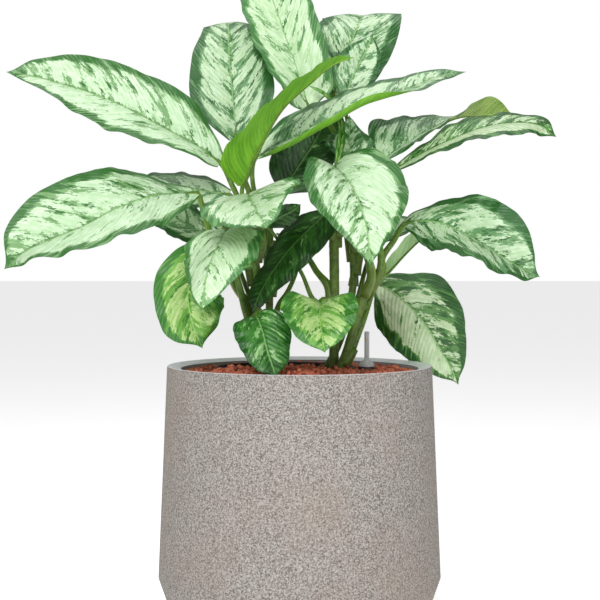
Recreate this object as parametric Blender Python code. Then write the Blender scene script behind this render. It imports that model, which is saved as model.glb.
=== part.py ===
"""A potted chinese evergreen: leaves on canes, clay granulate, culture pot, water gauge and planter.

Metres, +Z up. The origin is the centre of the planter's underside, +X is to the right and -Y is the front.
Sizes and points below are in millimetres and MM turns them into metres.
"""
import math

import bmesh
import bpy
from mathutils import Matrix, Vector

MM = 0.001
CLEARANCE = 0.3

# Planter: outer radii and heights, from the underside up
PLANTER_HEIGHT = 345.0
PLANTER_BASE_RADIUS = 181.0
PLANTER_WIDEST_RADIUS = 197.8
PLANTER_WIDEST_HEIGHT = 50.0
PLANTER_RIM_RADIUS = 185.1
PLANTER_EDGE_ROUNDING = 2.0
LIP_WIDTH = 19.0
LIP_DROP = 4.0
INNER_RADIUS_WIDEST = 178.0
INNER_RADIUS_FLOOR = 170.0
FLOOR_THICKNESS = 22.0
PLANTER_SEGMENTS = 64

# Growing medium
GRANULATE_TOP = 333.0
GRANULATE_GAP = 0.5

# Culture pot, sunk in the granulate
POT_CENTRE = (-20.0, 8.0)
POT_RIM_HEIGHT = 342.0
POT_DEPTH = 174.0
POT_RIM_RADIUS = 98.0
POT_BASE_RADIUS = 86.0
POT_WALL = 2.0
POT_LIP_WIDTH = 4.0
POT_SLOTS = 16
POT_SLOT_SIZE = (12.0, 4.0, 60.0)
POT_SLOT_HEIGHT = 60.0
POT_SEGMENTS = 48
ROOT_GAP = 0.6

# Water gauge: a guide shaft in the granulate, a clear tube above it and a float inside
GAUGE_AXIS = (96.0, 40.0)
SHAFT_RADIUS = 11.5
SHAFT_WALL = 1.5
SHAFT_TOP = 339.5
SHAFT_SLOT_SIZE = (30.0, 4.0, 18.0)
BELL_TOP = 350.0
TUBE_RADIUS = 3.5
TUBE_BORE = 2.4
TUBE_TOP = 390.0
FLOAT_RADIUS = 8.0
FLOAT_LENGTH = 60.0
FLOAT_ROD_RADIUS = 1.2
FLOAT_TIP_RADIUS = 1.9
FLOAT_TIP_LENGTH = 6.5
FLOAT_TIP_TOP = 347.5
GAUGE_SEGMENTS = 24

# Canes: name, radius and the points of the axis above the granulate
CANE_DEPTH = 45.0
CANE_SIDES = 12
CANES = {
    "cane_centre": (7.0, [(48, 6, 333), (49, 6, 430), (48, 8, 545)]),
    "cane_right": (6.5, [(53, -14, 333), (66, -13, 365), (86, -8, 430), (102, -5, 470)]),
    "cane_right_back": (5.5, [(36, 30, 333), (60, 30, 385), (76, 30, 457), (74, 32, 530)]),
    "cane_left": (5.5, [(-60, 4, 333), (-62, 4, 420), (-63, 6, 512)]),
    "cane_left_back": (5.5, [(-42, 30, 333), (-43, 30, 420), (-40, 32, 520)]),
}

# Leaves
PETIOLE_SIDES = 8
PETIOLE_RINGS = 7
BLADE_RINGS = 9
SEAT_RUN = 22.0
BLADE_THICKNESS = 1.2
RIB_THICKNESS = 2.4
BULGE = 0.05
PETIOLE_TAPER = 0.35
PETIOLE_SLIMMEST = 2.6
PETIOLE_PER_WIDTH = 0.045
SEAT_LIFT = 1.5
ROUTE_STEPS = 10

# Each leaf: the cane it grows from, the height and the compass angle of its seat on that cane, the
# points of its petiole, the way its upper face looks at the base, and the stations of its midrib.
# A station has x, y and z, the half width of the blade there, and then the angles by which the left
# and the right half fold up towards the upper face, seen along the midrib with that face on top.
FRONT = (0, -1, 0)
BACK = (0, 1, 0)
UP = (0, -0.3, 1)
SKY = (0, 0, 1)
LEAVES = {
    "leaf_left_long": dict(
        cane="cane_left", seat=(455, 180), face=FRONT,
        petiole=[(-78, 2, 520), (-84, 0, 570), (-96, 2, 600)],
        blade=[(-111, 5, 628, 10, 40, 0), (-141, 0, 649, 36, 68, -25), (-179, -5, 670, 56, 67, -5),
               (-257, -20, 710, 58, 50, -22), (-315, -30, 730, 48, 57, -15),
               (-369, -38, 744, 25, 66, -20), (-401, -42, 749, 0, 30, 0)]),
    "leaf_left_broad": dict(
        cane="cane_left", seat=(400, 165), face=FRONT,
        petiole=[(-88, 6, 450), (-112, 4, 500), (-132, -4, 550)],
        blade=[(-143, -10, 586, 8, 40, -40), (-169, -28, 583, 32, 46, -55),
               (-205, -52, 578, 52, 40, -38), (-246, -80, 561, 62, 57, -18),
               (-288, -98, 537, 68, 70, -8), (-332, -110, 518, 62, 74, -8),
               (-364, -117, 502, 41, 78, -8), (-390, -120, 480, 0, 40, 0)]),
    "leaf_left_behind": dict(
        cane="cane_left_back", seat=(430, 170), face=FRONT,
        petiole=[(-62, 36, 490), (-76, 34, 550)],
        blade=[(-99, 32, 585, 8, 15, -30), (-149, 46, 592, 34, 30, -48),
               (-199, 50, 598, 40, 20, -58), (-244, 46, 588, 30, 15, -50), (-275, 36, 570, 0, 0, 0)]),
    "leaf_left_under": dict(
        cane="cane_left", seat=(400, 95), face=FRONT,
        petiole=[(-74, 16, 450), (-92, 17, 495)],
        blade=[(-110, 13, 523, 7, 20, -20), (-153, 11, 539, 30, 40, -30),
               (-189, 5, 561, 32, 40, -30), (-231, 2, 580, 0, 0, 0)]),
    "leaf_back_left": dict(
        cane="cane_left_back", seat=(465, 120), face=FRONT,
        petiole=[(-52, 42, 540), (-80, 44, 610)],
        blade=[(-91, 45, 662, 10, 10, 10), (-92, 50, 687, 38, 10, 10), (-96, 62, 726, 61, 8, 5),
               (-102, 85, 782, 55, 8, 5), (-104, 108, 820, 42, 5, 5), (-106, 135, 842, 34, -5, -5),
               (-110, 165, 842, 24, -10, -5), (-114, 205, 815, 0, 0, 0)]),
    "leaf_crown": dict(
        cane="cane_centre", seat=(510, 60), face=FRONT,
        petiole=[(56, 18, 600), (58, 32, 650), (36, 50, 695)],
        blade=[(14, 58, 708, 8, 10, 10), (8, 63, 725, 42, 50, 0), (2, 69, 746, 50, 50, 22),
               (-6, 75, 773, 54, 42, 25), (-18, 85, 808, 56, 36, 20), (-33, 102, 854, 55, 32, 25),
               (-51, 120, 903, 47, 25, 20), (-65, 138, 938, 30, 15, 15), (-76, 152, 970, 0, 0, 0)]),
    "leaf_folded_bright": dict(
        cane="cane_left", seat=(480, 270), face=BACK,
        petiole=[(-74, -14, 541), (-79, -18, 572)],
        blade=[(-79, -22, 593, 7, 80, -20), (-72, -36, 608, 35, 86, -20), (-64, -48, 628, 45, 90, -28),
               (-50, -58, 653, 47, 92, -47), (-35, -62, 680, 46, 96, -62), (-17, -60, 704, 42, 102, -70),
               (12, -50, 730, 34, 112, -72), (45, -36, 758, 20, 118, -70), (77, -22, 772, 0, 100, -60)]),
    "leaf_front_left_top": dict(
        cane="cane_left", seat=(488, 340), face=UP,
        petiole=[(-58, -14, 550), (-66, -24, 575)],
        blade=[(-70, -45, 583, 12, 20, -5), (-68, -75, 577, 55, 25, -8), (-63, -110, 568, 70, 25, -10),
               (-55, -145, 555, 60, 32, -15), (-48, -172, 543, 35, 40, -12), (-43, -190, 532, 0, 0, 0)]),
    "leaf_across": dict(
        cane="cane_left_back", seat=(470, 250), face=FRONT,
        petiole=[(-42, 15, 540), (-64, 10, 590)],
        blade=[(-62, 5, 635, 8, -30, 50), (-36, 0, 649, 34, -43, 56), (-1, -5, 667, 44, -41, 57),
               (41, -8, 689, 46, -50, 61), (90, -3, 712, 44, -53, 68), (150, 10, 730, 34, -45, 70),
               (193, 20, 749, 20, -45, 65), (236, 28, 758, 0, -20, 30)]),
    "leaf_back_right": dict(
        cane="cane_right_back", seat=(490, 120), face=FRONT,
        petiole=[(62, 62, 600), (50, 86, 680)],
        blade=[(47, 94, 725, 8, 0, 0), (59, 100, 762, 48, 0, 0), (70, 109, 798, 60, -5, 0),
               (81, 120, 825, 62, -15, -3), (91, 142, 849, 60, -26, 14), (96, 170, 859, 56, -22, 22),
               (102, 205, 854, 40, -15, 10), (110, 245, 828, 0, 0, 0)]),
    "leaf_small_top": dict(
        cane="cane_right_back", seat=(505, 60), face=FRONT,
        petiole=[(76, 48, 600), (70, 56, 680)],
        blade=[(62, 56, 726, 7, 5, 5), (71, 59, 741, 27, 8, 8), (79, 62, 762, 33, 8, 8),
               (95, 70, 791, 24, 8, 8), (105, 80, 819, 0, 0, 0)]),
    "leaf_right_twisted": dict(
        cane="cane_right_back", seat=(470, 0), face=FRONT,
        petiole=[(92, 32, 530), (106, 30, 590)],
        blade=[(117, 34, 631, 12, -10, 75), (135, 48, 645, 56, -10, 80), (160, 58, 661, 52, -25, 82),
               (183, 66, 675, 50, -40, 82), (205, 71, 688, 47, -58, 83), (230, 75, 698, 41, -78, 90),
               (259, 75, 700, 33, -75, 122), (283, 71, 700, 26, -70, 155), (314, 66, 698, 0, -60, 120)]),
    "leaf_right_long": dict(
        cane="cane_right", seat=(452, 330), face=FRONT,
        petiole=[(112, -10, 530), (122, 0, 585)],
        blade=[(137, 1, 621, 8, -50, 60), (174, -14, 641, 30, -65, 76), (211, -26, 658, 40, -57, 75),
               (248, -34, 672, 42, -65, 73), (288, -40, 679, 38, -67, 65), (325, -44, 676, 26, -60, 62),
               (351, -46, 660, 0, 0, 0)]),
    "leaf_centre_front": dict(
        cane="cane_right", seat=(440, 270), face=UP,
        petiole=[(94, -14, 500), (84, -6, 560), (58, -2, 605)],
        blade=[(48, -22, 620, 26, 45, 30), (56, -50, 611, 51, 40, 30), (66, -80, 597, 66, 26, 17),
               (74, -106, 580, 71, 10, 10), (81, -126, 560, 64, 8, 8), (87, -141, 536, 43, 3, 0),
               (90, -150, 511, 21, 0, 0), (93, -155, 482, 0, 0, 0)]),
    "leaf_right_mid": dict(
        cane="cane_right", seat=(458, 30), face=FRONT,
        petiole=[(116, 2, 495), (133, 10, 520)],
        blade=[(148, 20, 543, 8, -40, 20), (168, 12, 547, 30, -55, 20), (196, 2, 544, 45, -41, 37),
               (225, -10, 531, 58, -10, 64), (256, -22, 512, 64, 0, 80), (286, -31, 492, 53, -10, 78),
               (310, -37, 478, 28, -20, 70), (330, -40, 469, 0, 0, 0)]),
    "leaf_right_low": dict(
        cane="cane_right", seat=(349, 20), face=FRONT,
        petiole=[(74, -4, 366), (89, 8, 405), (101, 22, 440)],
        blade=[(107, 32, 460, 8, 0, 0), (131, 45, 448, 36, 25, -42), (158, 62, 426, 62, 10, -41),
               (184, 76, 396, 60, 8, -28), (203, 86, 365, 47, 8, -20), (221, 91, 334, 25, 10, 0),
               (233, 94, 309, 0, 0, 0)]),
    "leaf_front_left": dict(
        cane="cane_left", seat=(370, 215), face=UP,
        petiole=[(-74, -7, 412), (-84, -6, 455), (-100, -8, 505), (-104, -28, 536)],
        blade=[(-99, -55, 533, 32, 10, -5), (-102, -75, 527, 56, 8, -18), (-107, -98, 515, 60, 10, -33),
               (-112, -114, 503, 61, 5, -38), (-118, -127, 486, 52, 5, -38), (-122, -137, 467, 38, 5, -38),
               (-128, -148, 425, 0, 0, 0)]),
    "leaf_low_left": dict(
        cane="cane_left", seat=(355, 275), face=FRONT,
        petiole=[(-62, -12, 410), (-60, -14, 460)],
        blade=[(-65, -14, 488, 8, 0, 0), (-108, -30, 491, 24, 0, 0), (-140, -42, 477, 42, 0, 0),
               (-152, -52, 451, 50, 15, -5), (-150, -60, 424, 48, 25, -5), (-143, -65, 399, 42, 60, -5),
               (-132, -66, 372, 0, 0, 0)]),
    "leaf_centre_dark": dict(
        cane="cane_centre", seat=(520, 260), face=FRONT,
        petiole=[(46, -6, 556)],
        blade=[(41, -10, 562, 8, 20, -40), (29, -18, 549, 28, 25, -43), (10, -27, 531, 35, 28, -44),
               (-14, -39, 506, 35, 28, -48), (-39, -46, 472, 29, 35, -55), (-56, -47, 441, 17, 45, -30),
               (-65, -45, 417, 0, 0, 0)]),
    "leaf_low_dark": dict(
        cane="cane_left", seat=(340, 345), face=UP,
        petiole=[(-49, -28, 395), (-54, -56, 424)],
        blade=[(-59, -75, 417, 15, 40, -5), (-54, -90, 408, 36, 15, 0), (-48, -104, 392, 38, 5, -5),
               (-43, -115, 373, 32, 5, -5), (-36, -123, 353, 23, 0, 0), (-31, -128, 338, 0, 0, 0)]),
    "leaf_low_front": dict(
        cane="cane_centre", seat=(380, 250), face=UP,
        petiole=[(42, -20, 425), (34, -42, 438)],
        blade=[(28, -60, 435, 22, 20, 20), (28, -82, 429, 46, 28, 28), (27, -103, 418, 55, 25, 20),
               (28, -120, 404, 50, 20, 20), (30, -132, 390, 36, 15, 15), (33, -143, 371, 0, 0, 0)]),
    "leaf_small_dark": dict(
        cane="cane_centre", seat=(400, 200), face=FRONT,
        petiole=[(18, -2, 438), (1, 0, 477), (-30, -4, 520)],
        blade=[(-44, -10, 540, 5, 20, 20), (-26, -12, 552, 17, 30, 0), (-10, -12, 560, 13, 30, 0),
               (2, -8, 570, 0, 0, 0)]),
    "leaf_behind_centre": dict(
        cane="cane_centre", seat=(430, 150), face=FRONT,
        petiole=[(24, 18, 475), (12, 20, 495), (-15, 22, 527), (-27, 25, 566)],
        blade=[(-23, 40, 588, 7, 10, 10), (-15, 46, 604, 34, 10, 10), (-1, 54, 627, 43, 10, 10),
               (18, 56, 656, 40, 10, 10), (36, 62, 689, 27, 10, 10), (47, 68, 713, 0, 0, 0)]),
    "leaf_pale_small": dict(
        cane="cane_right_back", seat=(500, 300), face=FRONT,
        petiole=[(75, 12, 590)],
        blade=[(71, 20, 632, 10, 10, 10), (71, 29, 651, 34, 10, 10), (71, 36, 664, 29, 10, 10),
               (71, 40, 677, 16, 10, 10), (71, 42, 698, 0, 0, 0)]),
    "leaf_right_under": dict(
        cane="cane_right", seat=(400, 80), face=BACK,
        petiole=[(96, 10, 430)],
        blade=[(113, 17, 463, 6, 95, -30), (129, 24, 479, 16, 95, -40), (148, 32, 499, 24, 95, -50),
               (171, 44, 520, 28, 95, -50), (201, 58, 545, 24, 90, -45), (227, 72, 564, 0, 0, 0)]),
    "leaf_right_behind": dict(
        cane="cane_right_back", seat=(410, 30), face=UP,
        petiole=[(98, 54, 490)],
        blade=[(118, 75, 518, 7, 0, 0), (150, 95, 538, 28, 8, 8), (178, 120, 546, 34, 8, 8),
               (205, 145, 544, 24, 8, 8), (232, 172, 528, 0, 0, 0)]),
    "leaf_rear_left": dict(
        cane="cane_left_back", seat=(440, 35), face=SKY,
        petiole=[(-34, 60, 490)],
        blade=[(-68, 75, 520, 8, 20, 20), (-80, 105, 533, 40, 15, 15), (-92, 145, 538, 45, 12, 12),
               (-102, 185, 528, 32, 10, 10), (-110, 225, 508, 0, 0, 0)]),
    "leaf_rear_centre": dict(
        cane="cane_left_back", seat=(390, 20), face=SKY,
        petiole=[(-29, 24, 429), (-17, 24, 447), (-5, 30, 475)],
        blade=[(0, 55, 505, 7, 15, 15), (0, 85, 518, 32, 15, 15), (1, 125, 523, 36, 12, 12),
               (3, 165, 516, 26, 10, 10), (4, 205, 498, 0, 0, 0)]),
    "leaf_rear_right": dict(
        cane="cane_right_back", seat=(455, 80), face=SKY,
        petiole=[(82, 56, 520)],
        blade=[(78, 75, 550, 8, 20, 20), (84, 110, 566, 38, 15, 15), (91, 150, 570, 45, 12, 12),
               (97, 190, 562, 32, 10, 10), (102, 235, 540, 0, 0, 0)]),
    "leaf_new": dict(
        cane="cane_centre", seat=(525, 0), face=FRONT,
        petiole=[(52, 6, 590)],
        blade=[(50, 6, 619, 4, 60, 60), (56, 10, 647, 12, 60, 60), (58, 19, 674, 12, 65, 65),
               (52, 33, 702, 9, 65, 65), (35, 43, 726, 6, 60, 60), (11, 45, 742, 0, 0, 0)]),
}


def clear_scene():
    """Remove every object that the file opens with."""
    for thing in list(bpy.data.objects):
        bpy.data.objects.remove(thing, do_unlink=True)


def finish(name, color, roughness, metallic=0.0):
    """Make a Principled BSDF material."""
    material = bpy.data.materials.new(name)
    material.use_nodes = True
    shader = material.node_tree.nodes["Principled BSDF"]
    shader.inputs["Base Color"].default_value = (*color, 1.0)
    shader.inputs["Roughness"].default_value = roughness
    shader.inputs["Metallic"].default_value = metallic
    return material


def add_object(name, shape, material, smooth=True):
    """Turn a bmesh in millimetres into an object in metres."""
    bmesh.ops.scale(shape, vec=(MM, MM, MM), verts=shape.verts)
    bmesh.ops.recalc_face_normals(shape, faces=shape.faces)
    mesh = bpy.data.meshes.new(name)
    shape.to_mesh(mesh)
    shape.free()
    if smooth:
        mesh.shade_smooth()
        mesh.set_sharp_from_angle(angle=math.radians(35))
    mesh.materials.append(material)
    thing = bpy.data.objects.new(name, mesh)
    bpy.context.collection.objects.link(thing)
    return thing


def turned(profile, segments, centre=(0.0, 0.0)):
    """Spin a closed outline of (radius, height) points about the vertical through centre."""
    shape = bmesh.new()
    corners = [shape.verts.new((radius, 0, height)) for radius, height in profile]
    edges = [shape.edges.new(pair) for pair in zip(corners, corners[1:] + corners[:1])]
    bmesh.ops.spin(shape, geom=corners + edges, cent=(0, 0, 0), axis=(0, 0, 1),
                   angle=2 * math.pi, steps=segments, use_merge=True)
    bmesh.ops.remove_doubles(shape, verts=shape.verts, dist=0.001)
    bmesh.ops.dissolve_degenerate(shape, edges=shape.edges, dist=0.001)
    bmesh.ops.translate(shape, vec=(*centre, 0), verts=shape.verts)
    return shape


def box(size, centre, turn=0.0):
    """A box about centre, turned about the vertical axis through the origin."""
    shape = bmesh.new()
    bmesh.ops.create_cube(shape, size=1.0)
    bmesh.ops.scale(shape, vec=size, verts=shape.verts)
    bmesh.ops.translate(shape, vec=centre, verts=shape.verts)
    bmesh.ops.rotate(shape, cent=(0, 0, 0), matrix=Matrix.Rotation(turn, 3, "Z"), verts=shape.verts)
    return shape


def cut(thing, name, shape):
    """Take a shape away from an object."""
    cutter = add_object(name, shape, thing.data.materials[0])
    cutter.hide_render = True
    cutter.display_type = "WIRE"
    boolean = thing.modifiers.new(name, "BOOLEAN")
    boolean.operation = "DIFFERENCE"
    boolean.solver = "EXACT"
    boolean.object = cutter


def join_shapes(shapes):
    """Put several separate closed shapes into one bmesh."""
    joined = bmesh.new()
    for shape in shapes:
        mesh = bpy.data.meshes.new("piece")
        shape.to_mesh(mesh)
        shape.free()
        joined.from_mesh(mesh)
        bpy.data.meshes.remove(mesh)
    return joined


def smooth_route(points, steps):
    """Read a smooth curve through points: steps places on each stretch, then the last point."""
    points = [Vector(point) for point in points]
    before = [points[0] * 2 - points[1]]
    after = [points[-1] * 2 - points[-2]]
    padded = before + points + after
    route = []
    for number in range(len(points) - 1):
        p0, p1, p2, p3 = padded[number:number + 4]
        for step in range(steps):
            t = step / steps
            route.append(0.5 * (2 * p1 + (p2 - p0) * t + (2 * p0 - 5 * p1 + 4 * p2 - p3) * t * t
                                + (3 * p1 - 3 * p2 + p3 - p0) * t * t * t))
    route.append(points[-1])
    return route


def resample(route, count):
    """Read count places, evenly spaced along a route."""
    lengths = [0.0]
    for a, b in zip(route, route[1:]):
        lengths.append(lengths[-1] + (Vector(b[:3]) - Vector(a[:3])).length)
    places = []
    part = 0
    for number in range(count):
        wanted = lengths[-1] * number / (count - 1)
        while part < len(route) - 2 and lengths[part + 1] < wanted:
            part += 1
        share = (wanted - lengths[part]) / (lengths[part + 1] - lengths[part])
        places.append(route[part].lerp(route[part + 1], min(max(share, 0.0), 1.0)))
    return places


def frames_along(route, front=(0, -1, 0)):
    """The direction, side and front vectors at each place of a route, with no needless twist."""
    frames = []
    front = Vector(front)
    for number in range(len(route)):
        ahead = route[min(number + 1, len(route) - 1)]
        behind = route[max(number - 1, 0)]
        along = (ahead - behind).normalized()
        if frames:
            front = frames[-1][0].rotation_difference(along) @ front
        front = (front - along * front.dot(along)).normalized()
        frames.append((along, along.cross(front), front))
    return frames


def backwards(frames):
    """The same frames for a route that is read from its other end."""
    return [(-along, -side, front) for along, side, front in reversed(frames)]


def ringed_rod(sides, rings):
    """A straight rod with rings, and its vertices by ring and side."""
    rod = bmesh.new()
    bmesh.ops.create_cone(rod, cap_ends=True, cap_tris=False, segments=sides,
                          radius1=1, radius2=1, depth=rings - 1)
    upright = [edge for edge in rod.edges
               if abs(edge.verts[0].co.z - edge.verts[1].co.z) > 0.5]
    bmesh.ops.subdivide_edges(rod, edges=upright, cuts=rings - 2)
    places = {}
    for vertex in rod.verts:
        ring = round(vertex.co.z + (rings - 1) / 2)
        side = round(math.atan2(vertex.co.y, vertex.co.x) / (2 * math.pi / sides)) % sides
        places[ring, side] = vertex
    return rod, places


def cane_axis(name):
    """The smooth axis of a cane above the granulate."""
    return smooth_route(CANES[name][1], 8)


def beside_cane(name, height, angle, reach):
    """The place level with a height on a cane, at a distance square to its axis."""
    axis = cane_axis(name)
    part = 0
    while part < len(axis) - 2 and axis[part + 1].z < height:
        part += 1
    low, high = axis[part], axis[part + 1]
    along = (high - low).normalized()
    out = Vector((math.cos(math.radians(angle)), math.sin(math.radians(angle)), 0))
    out = (out - along * out.dot(along)).normalized()
    return low.lerp(high, (height - low.z) / (high.z - low.z)) + out * reach


def petiole_route(leaf):
    """From the seat on the cane, up along it and out to the base of the blade."""
    height, angle = leaf["seat"]
    reach = CANES[leaf["cane"]][0] + petiole_radius(leaf) + CLEARANCE
    seat = beside_cane(leaf["cane"], height, angle, reach)
    above = beside_cane(leaf["cane"], height + SEAT_RUN, angle, reach + SEAT_LIFT)
    return [seat, above] + [Vector(point) for point in leaf["petiole"]]


def petiole_radius(leaf):
    """Petioles are as thick as their leaves are wide, within limits."""
    return PETIOLE_SLIMMEST + max(station[3] for station in leaf["blade"]) * PETIOLE_PER_WIDTH


def blade_stations(leaf, count):
    """Evenly spaced places on the midrib, each with its half width and fold angles."""
    stations = leaf["blade"]
    midrib = smooth_route([station[:3] for station in stations], ROUTE_STEPS)
    widths = smooth_route([(station[3], 0, 0) for station in stations], ROUTE_STEPS)
    folds = smooth_route([(station[4], station[5], 0) for station in stations], ROUTE_STEPS)
    lengths = [0.0]
    for a, b in zip(midrib, midrib[1:]):
        lengths.append(lengths[-1] + (b - a).length)
    found = []
    part = 0
    for number in range(count):
        reach = lengths[-1] * number / (count - 1)
        while part < len(lengths) - 2 and lengths[part + 1] < reach:
            part += 1
        mix = min((reach - lengths[part]) / (lengths[part + 1] - lengths[part]), 1.0)
        fold = folds[part].lerp(folds[part + 1], mix)
        half = widths[part].lerp(widths[part + 1], mix).x
        found.append((midrib[part].lerp(midrib[part + 1], mix), max(half, 0.0),
                      math.radians(fold.x), math.radians(fold.y)))
    return found


def petiole_ring(place, side, front, radius):
    """Eight corners round a petiole."""
    ring = []
    for corner in range(PETIOLE_SIDES):
        angle = 2 * math.pi * corner / PETIOLE_SIDES
        ring.append(place + radius * (math.cos(angle) * side + math.sin(angle) * front))
    return ring


def blade_ring(place, side, front, left, right, half, share):
    """Eight corners round a folded blade: right edge, over the top to the left edge, and back."""
    skin = BLADE_THICKNESS / 2
    rib = RIB_THICKNESS * (1 - share) + skin
    right_way = math.cos(right) * side + math.sin(right) * front
    right_up = math.cos(right) * front - math.sin(right) * side
    left_way = math.sin(left) * front - math.cos(left) * side
    left_up = math.cos(left) * front + math.sin(left) * side
    middle_up = (right_up + left_up).normalized()
    bulge = half * BULGE
    return [
        place + half * right_way,
        place + half / 2 * right_way + (bulge + skin) * right_up,
        place + skin * middle_up,
        place + half / 2 * left_way + (bulge + skin) * left_up,
        place + half * left_way,
        place + half / 2 * left_way + (bulge - skin) * left_up,
        place - rib * middle_up,
        place + half / 2 * right_way + (bulge - skin) * right_up,
    ]


def leaf_rings(leaf):
    """The rings of one leaf: a round petiole that flattens into a thin folded blade."""
    stations = blade_stations(leaf, BLADE_RINGS)
    blade = [place for place, *rest in stations]
    stalk = petiole_route(leaf)
    whole = smooth_route(stalk + blade[:2], ROUTE_STEPS)
    stalk_places = resample(whole[:-ROUTE_STEPS], PETIOLE_RINGS)
    frames = frames_along(blade, leaf["face"])
    upward = Vector(frames[0][2])
    stalk_frames = backwards(frames_along(stalk_places[::-1], upward))
    rings = []
    for number, (place, (along, side, front)) in enumerate(zip(stalk_places, stalk_frames)):
        radius = petiole_radius(leaf) * (1 - PETIOLE_TAPER * number / (PETIOLE_RINGS - 1))
        rings.append(petiole_ring(place, side, front, radius))
    for number in range(1, BLADE_RINGS):
        place, half, left, right = stations[number]
        along, side, front = frames[number]
        rings.append(blade_ring(place, side, front, left, right, half, number / (BLADE_RINGS - 1)))
    return rings


def brace_blade(rod, corners, first, last):
    """Split the faces of the blade the same way above and below, so that its two sides never cross."""
    for ring in range(first, last):
        for corner in range(PETIOLE_SIDES // 2):
            above = [corners[ring, corner], corners[ring + 1, corner + 1]]
            below = [corners[ring, -corner % PETIOLE_SIDES], corners[ring + 1, PETIOLE_SIDES - 1 - corner]]
            bmesh.ops.connect_verts(rod, verts=above)
            bmesh.ops.connect_verts(rod, verts=below)


def leaf_shape(leaf):
    """One leaf as a closed shape that ends in a point."""
    rings = leaf_rings(leaf)
    rod, corners = ringed_rod(PETIOLE_SIDES, len(rings))
    for (ring, corner), vertex in corners.items():
        vertex.co = rings[ring][corner]
    brace_blade(rod, corners, PETIOLE_RINGS - 1, len(rings) - 2)
    tip = [corners[len(rings) - 1, corner] for corner in range(PETIOLE_SIDES)]
    bmesh.ops.pointmerge(rod, verts=tip, merge_co=tip[0].co)
    bmesh.ops.dissolve_degenerate(rod, edges=rod.edges, dist=0.001)
    return rod


def make_leaves():
    """Every leaf is one grown piece with its petiole."""
    green = finish("leaf_green", (0.16, 0.36, 0.12), 0.45)
    for name, leaf in LEAVES.items():
        add_object(name, leaf_shape(leaf), green)


def make_canes():
    """Short upright canes, set in holes in the root ball."""
    green = finish("cane_green", (0.13, 0.2, 0.03), 0.5)
    for name, (radius, points) in CANES.items():
        foot = Vector(points[0]) - Vector((0, 0, CANE_DEPTH))
        route = [foot, Vector(points[0])] + cane_axis(name)[1:]
        rod, corners = ringed_rod(CANE_SIDES, len(route))
        for ring, (place, (along, side, front)) in enumerate(zip(route, frames_along(route))):
            if ring < 2:
                side, front = Vector((1, 0, 0)), Vector((0, -1, 0))
            for corner in range(CANE_SIDES):
                angle = 2 * math.pi * corner / CANE_SIDES
                corners[ring, corner].co = place + radius * (math.cos(angle) * side
                                                             + math.sin(angle) * front)
        add_object(name, rod, green)


def make_planter():
    """A round planter with a sloping inner lip and a chamfered lower band."""
    stone = finish("stone_composite", (0.32, 0.29, 0.26), 0.9)
    rounding = PLANTER_EDGE_ROUNDING
    lip_radius = PLANTER_RIM_RADIUS - LIP_WIDTH
    profile = [
        (0, 0),
        (PLANTER_BASE_RADIUS - rounding, 0),
        (PLANTER_BASE_RADIUS, rounding),
        (PLANTER_WIDEST_RADIUS, PLANTER_WIDEST_HEIGHT),
        (PLANTER_RIM_RADIUS, PLANTER_HEIGHT - rounding),
        (PLANTER_RIM_RADIUS - rounding, PLANTER_HEIGHT),
        (lip_radius, PLANTER_HEIGHT - LIP_DROP),
        (lip_radius, PLANTER_HEIGHT - LIP_WIDTH),
        (INNER_RADIUS_WIDEST, PLANTER_WIDEST_HEIGHT + LIP_WIDTH),
        (INNER_RADIUS_FLOOR, FLOOR_THICKNESS),
        (0, FLOOR_THICKNESS),
    ]
    add_object("planter", turned(profile, PLANTER_SEGMENTS), stone)


def make_granulate():
    """The bed of clay granulate around and below the culture pot."""
    clay = finish("fired_clay", (0.42, 0.14, 0.08), 0.85)
    lip_radius = PLANTER_RIM_RADIUS - LIP_WIDTH
    profile = [
        (0, FLOOR_THICKNESS + CLEARANCE),
        (INNER_RADIUS_FLOOR - GRANULATE_GAP, FLOOR_THICKNESS + CLEARANCE),
        (INNER_RADIUS_WIDEST - GRANULATE_GAP, PLANTER_WIDEST_HEIGHT + LIP_WIDTH),
        (lip_radius - GRANULATE_GAP, PLANTER_HEIGHT - LIP_WIDTH),
        (lip_radius - GRANULATE_GAP, GRANULATE_TOP),
        (0, GRANULATE_TOP),
    ]
    bed = add_object("clay_granulate", turned(profile, PLANTER_SEGMENTS), clay)
    floor = POT_RIM_HEIGHT - POT_DEPTH
    hollow = [
        (0, floor - CLEARANCE),
        (POT_BASE_RADIUS + GRANULATE_GAP, floor - CLEARANCE),
        (POT_RIM_RADIUS + GRANULATE_GAP, POT_RIM_HEIGHT + POT_LIP_WIDTH),
        (0, POT_RIM_HEIGHT + POT_LIP_WIDTH),
    ]
    cut(bed, "pot_hollow", turned(hollow, POT_SEGMENTS, POT_CENTRE))
    shaft = [
        (0, 0),
        (SHAFT_RADIUS + GRANULATE_GAP, 0),
        (SHAFT_RADIUS + GRANULATE_GAP, SHAFT_TOP),
        (0, SHAFT_TOP),
    ]
    cut(bed, "shaft_hollow", turned(shaft, GAUGE_SEGMENTS, GAUGE_AXIS))


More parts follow.
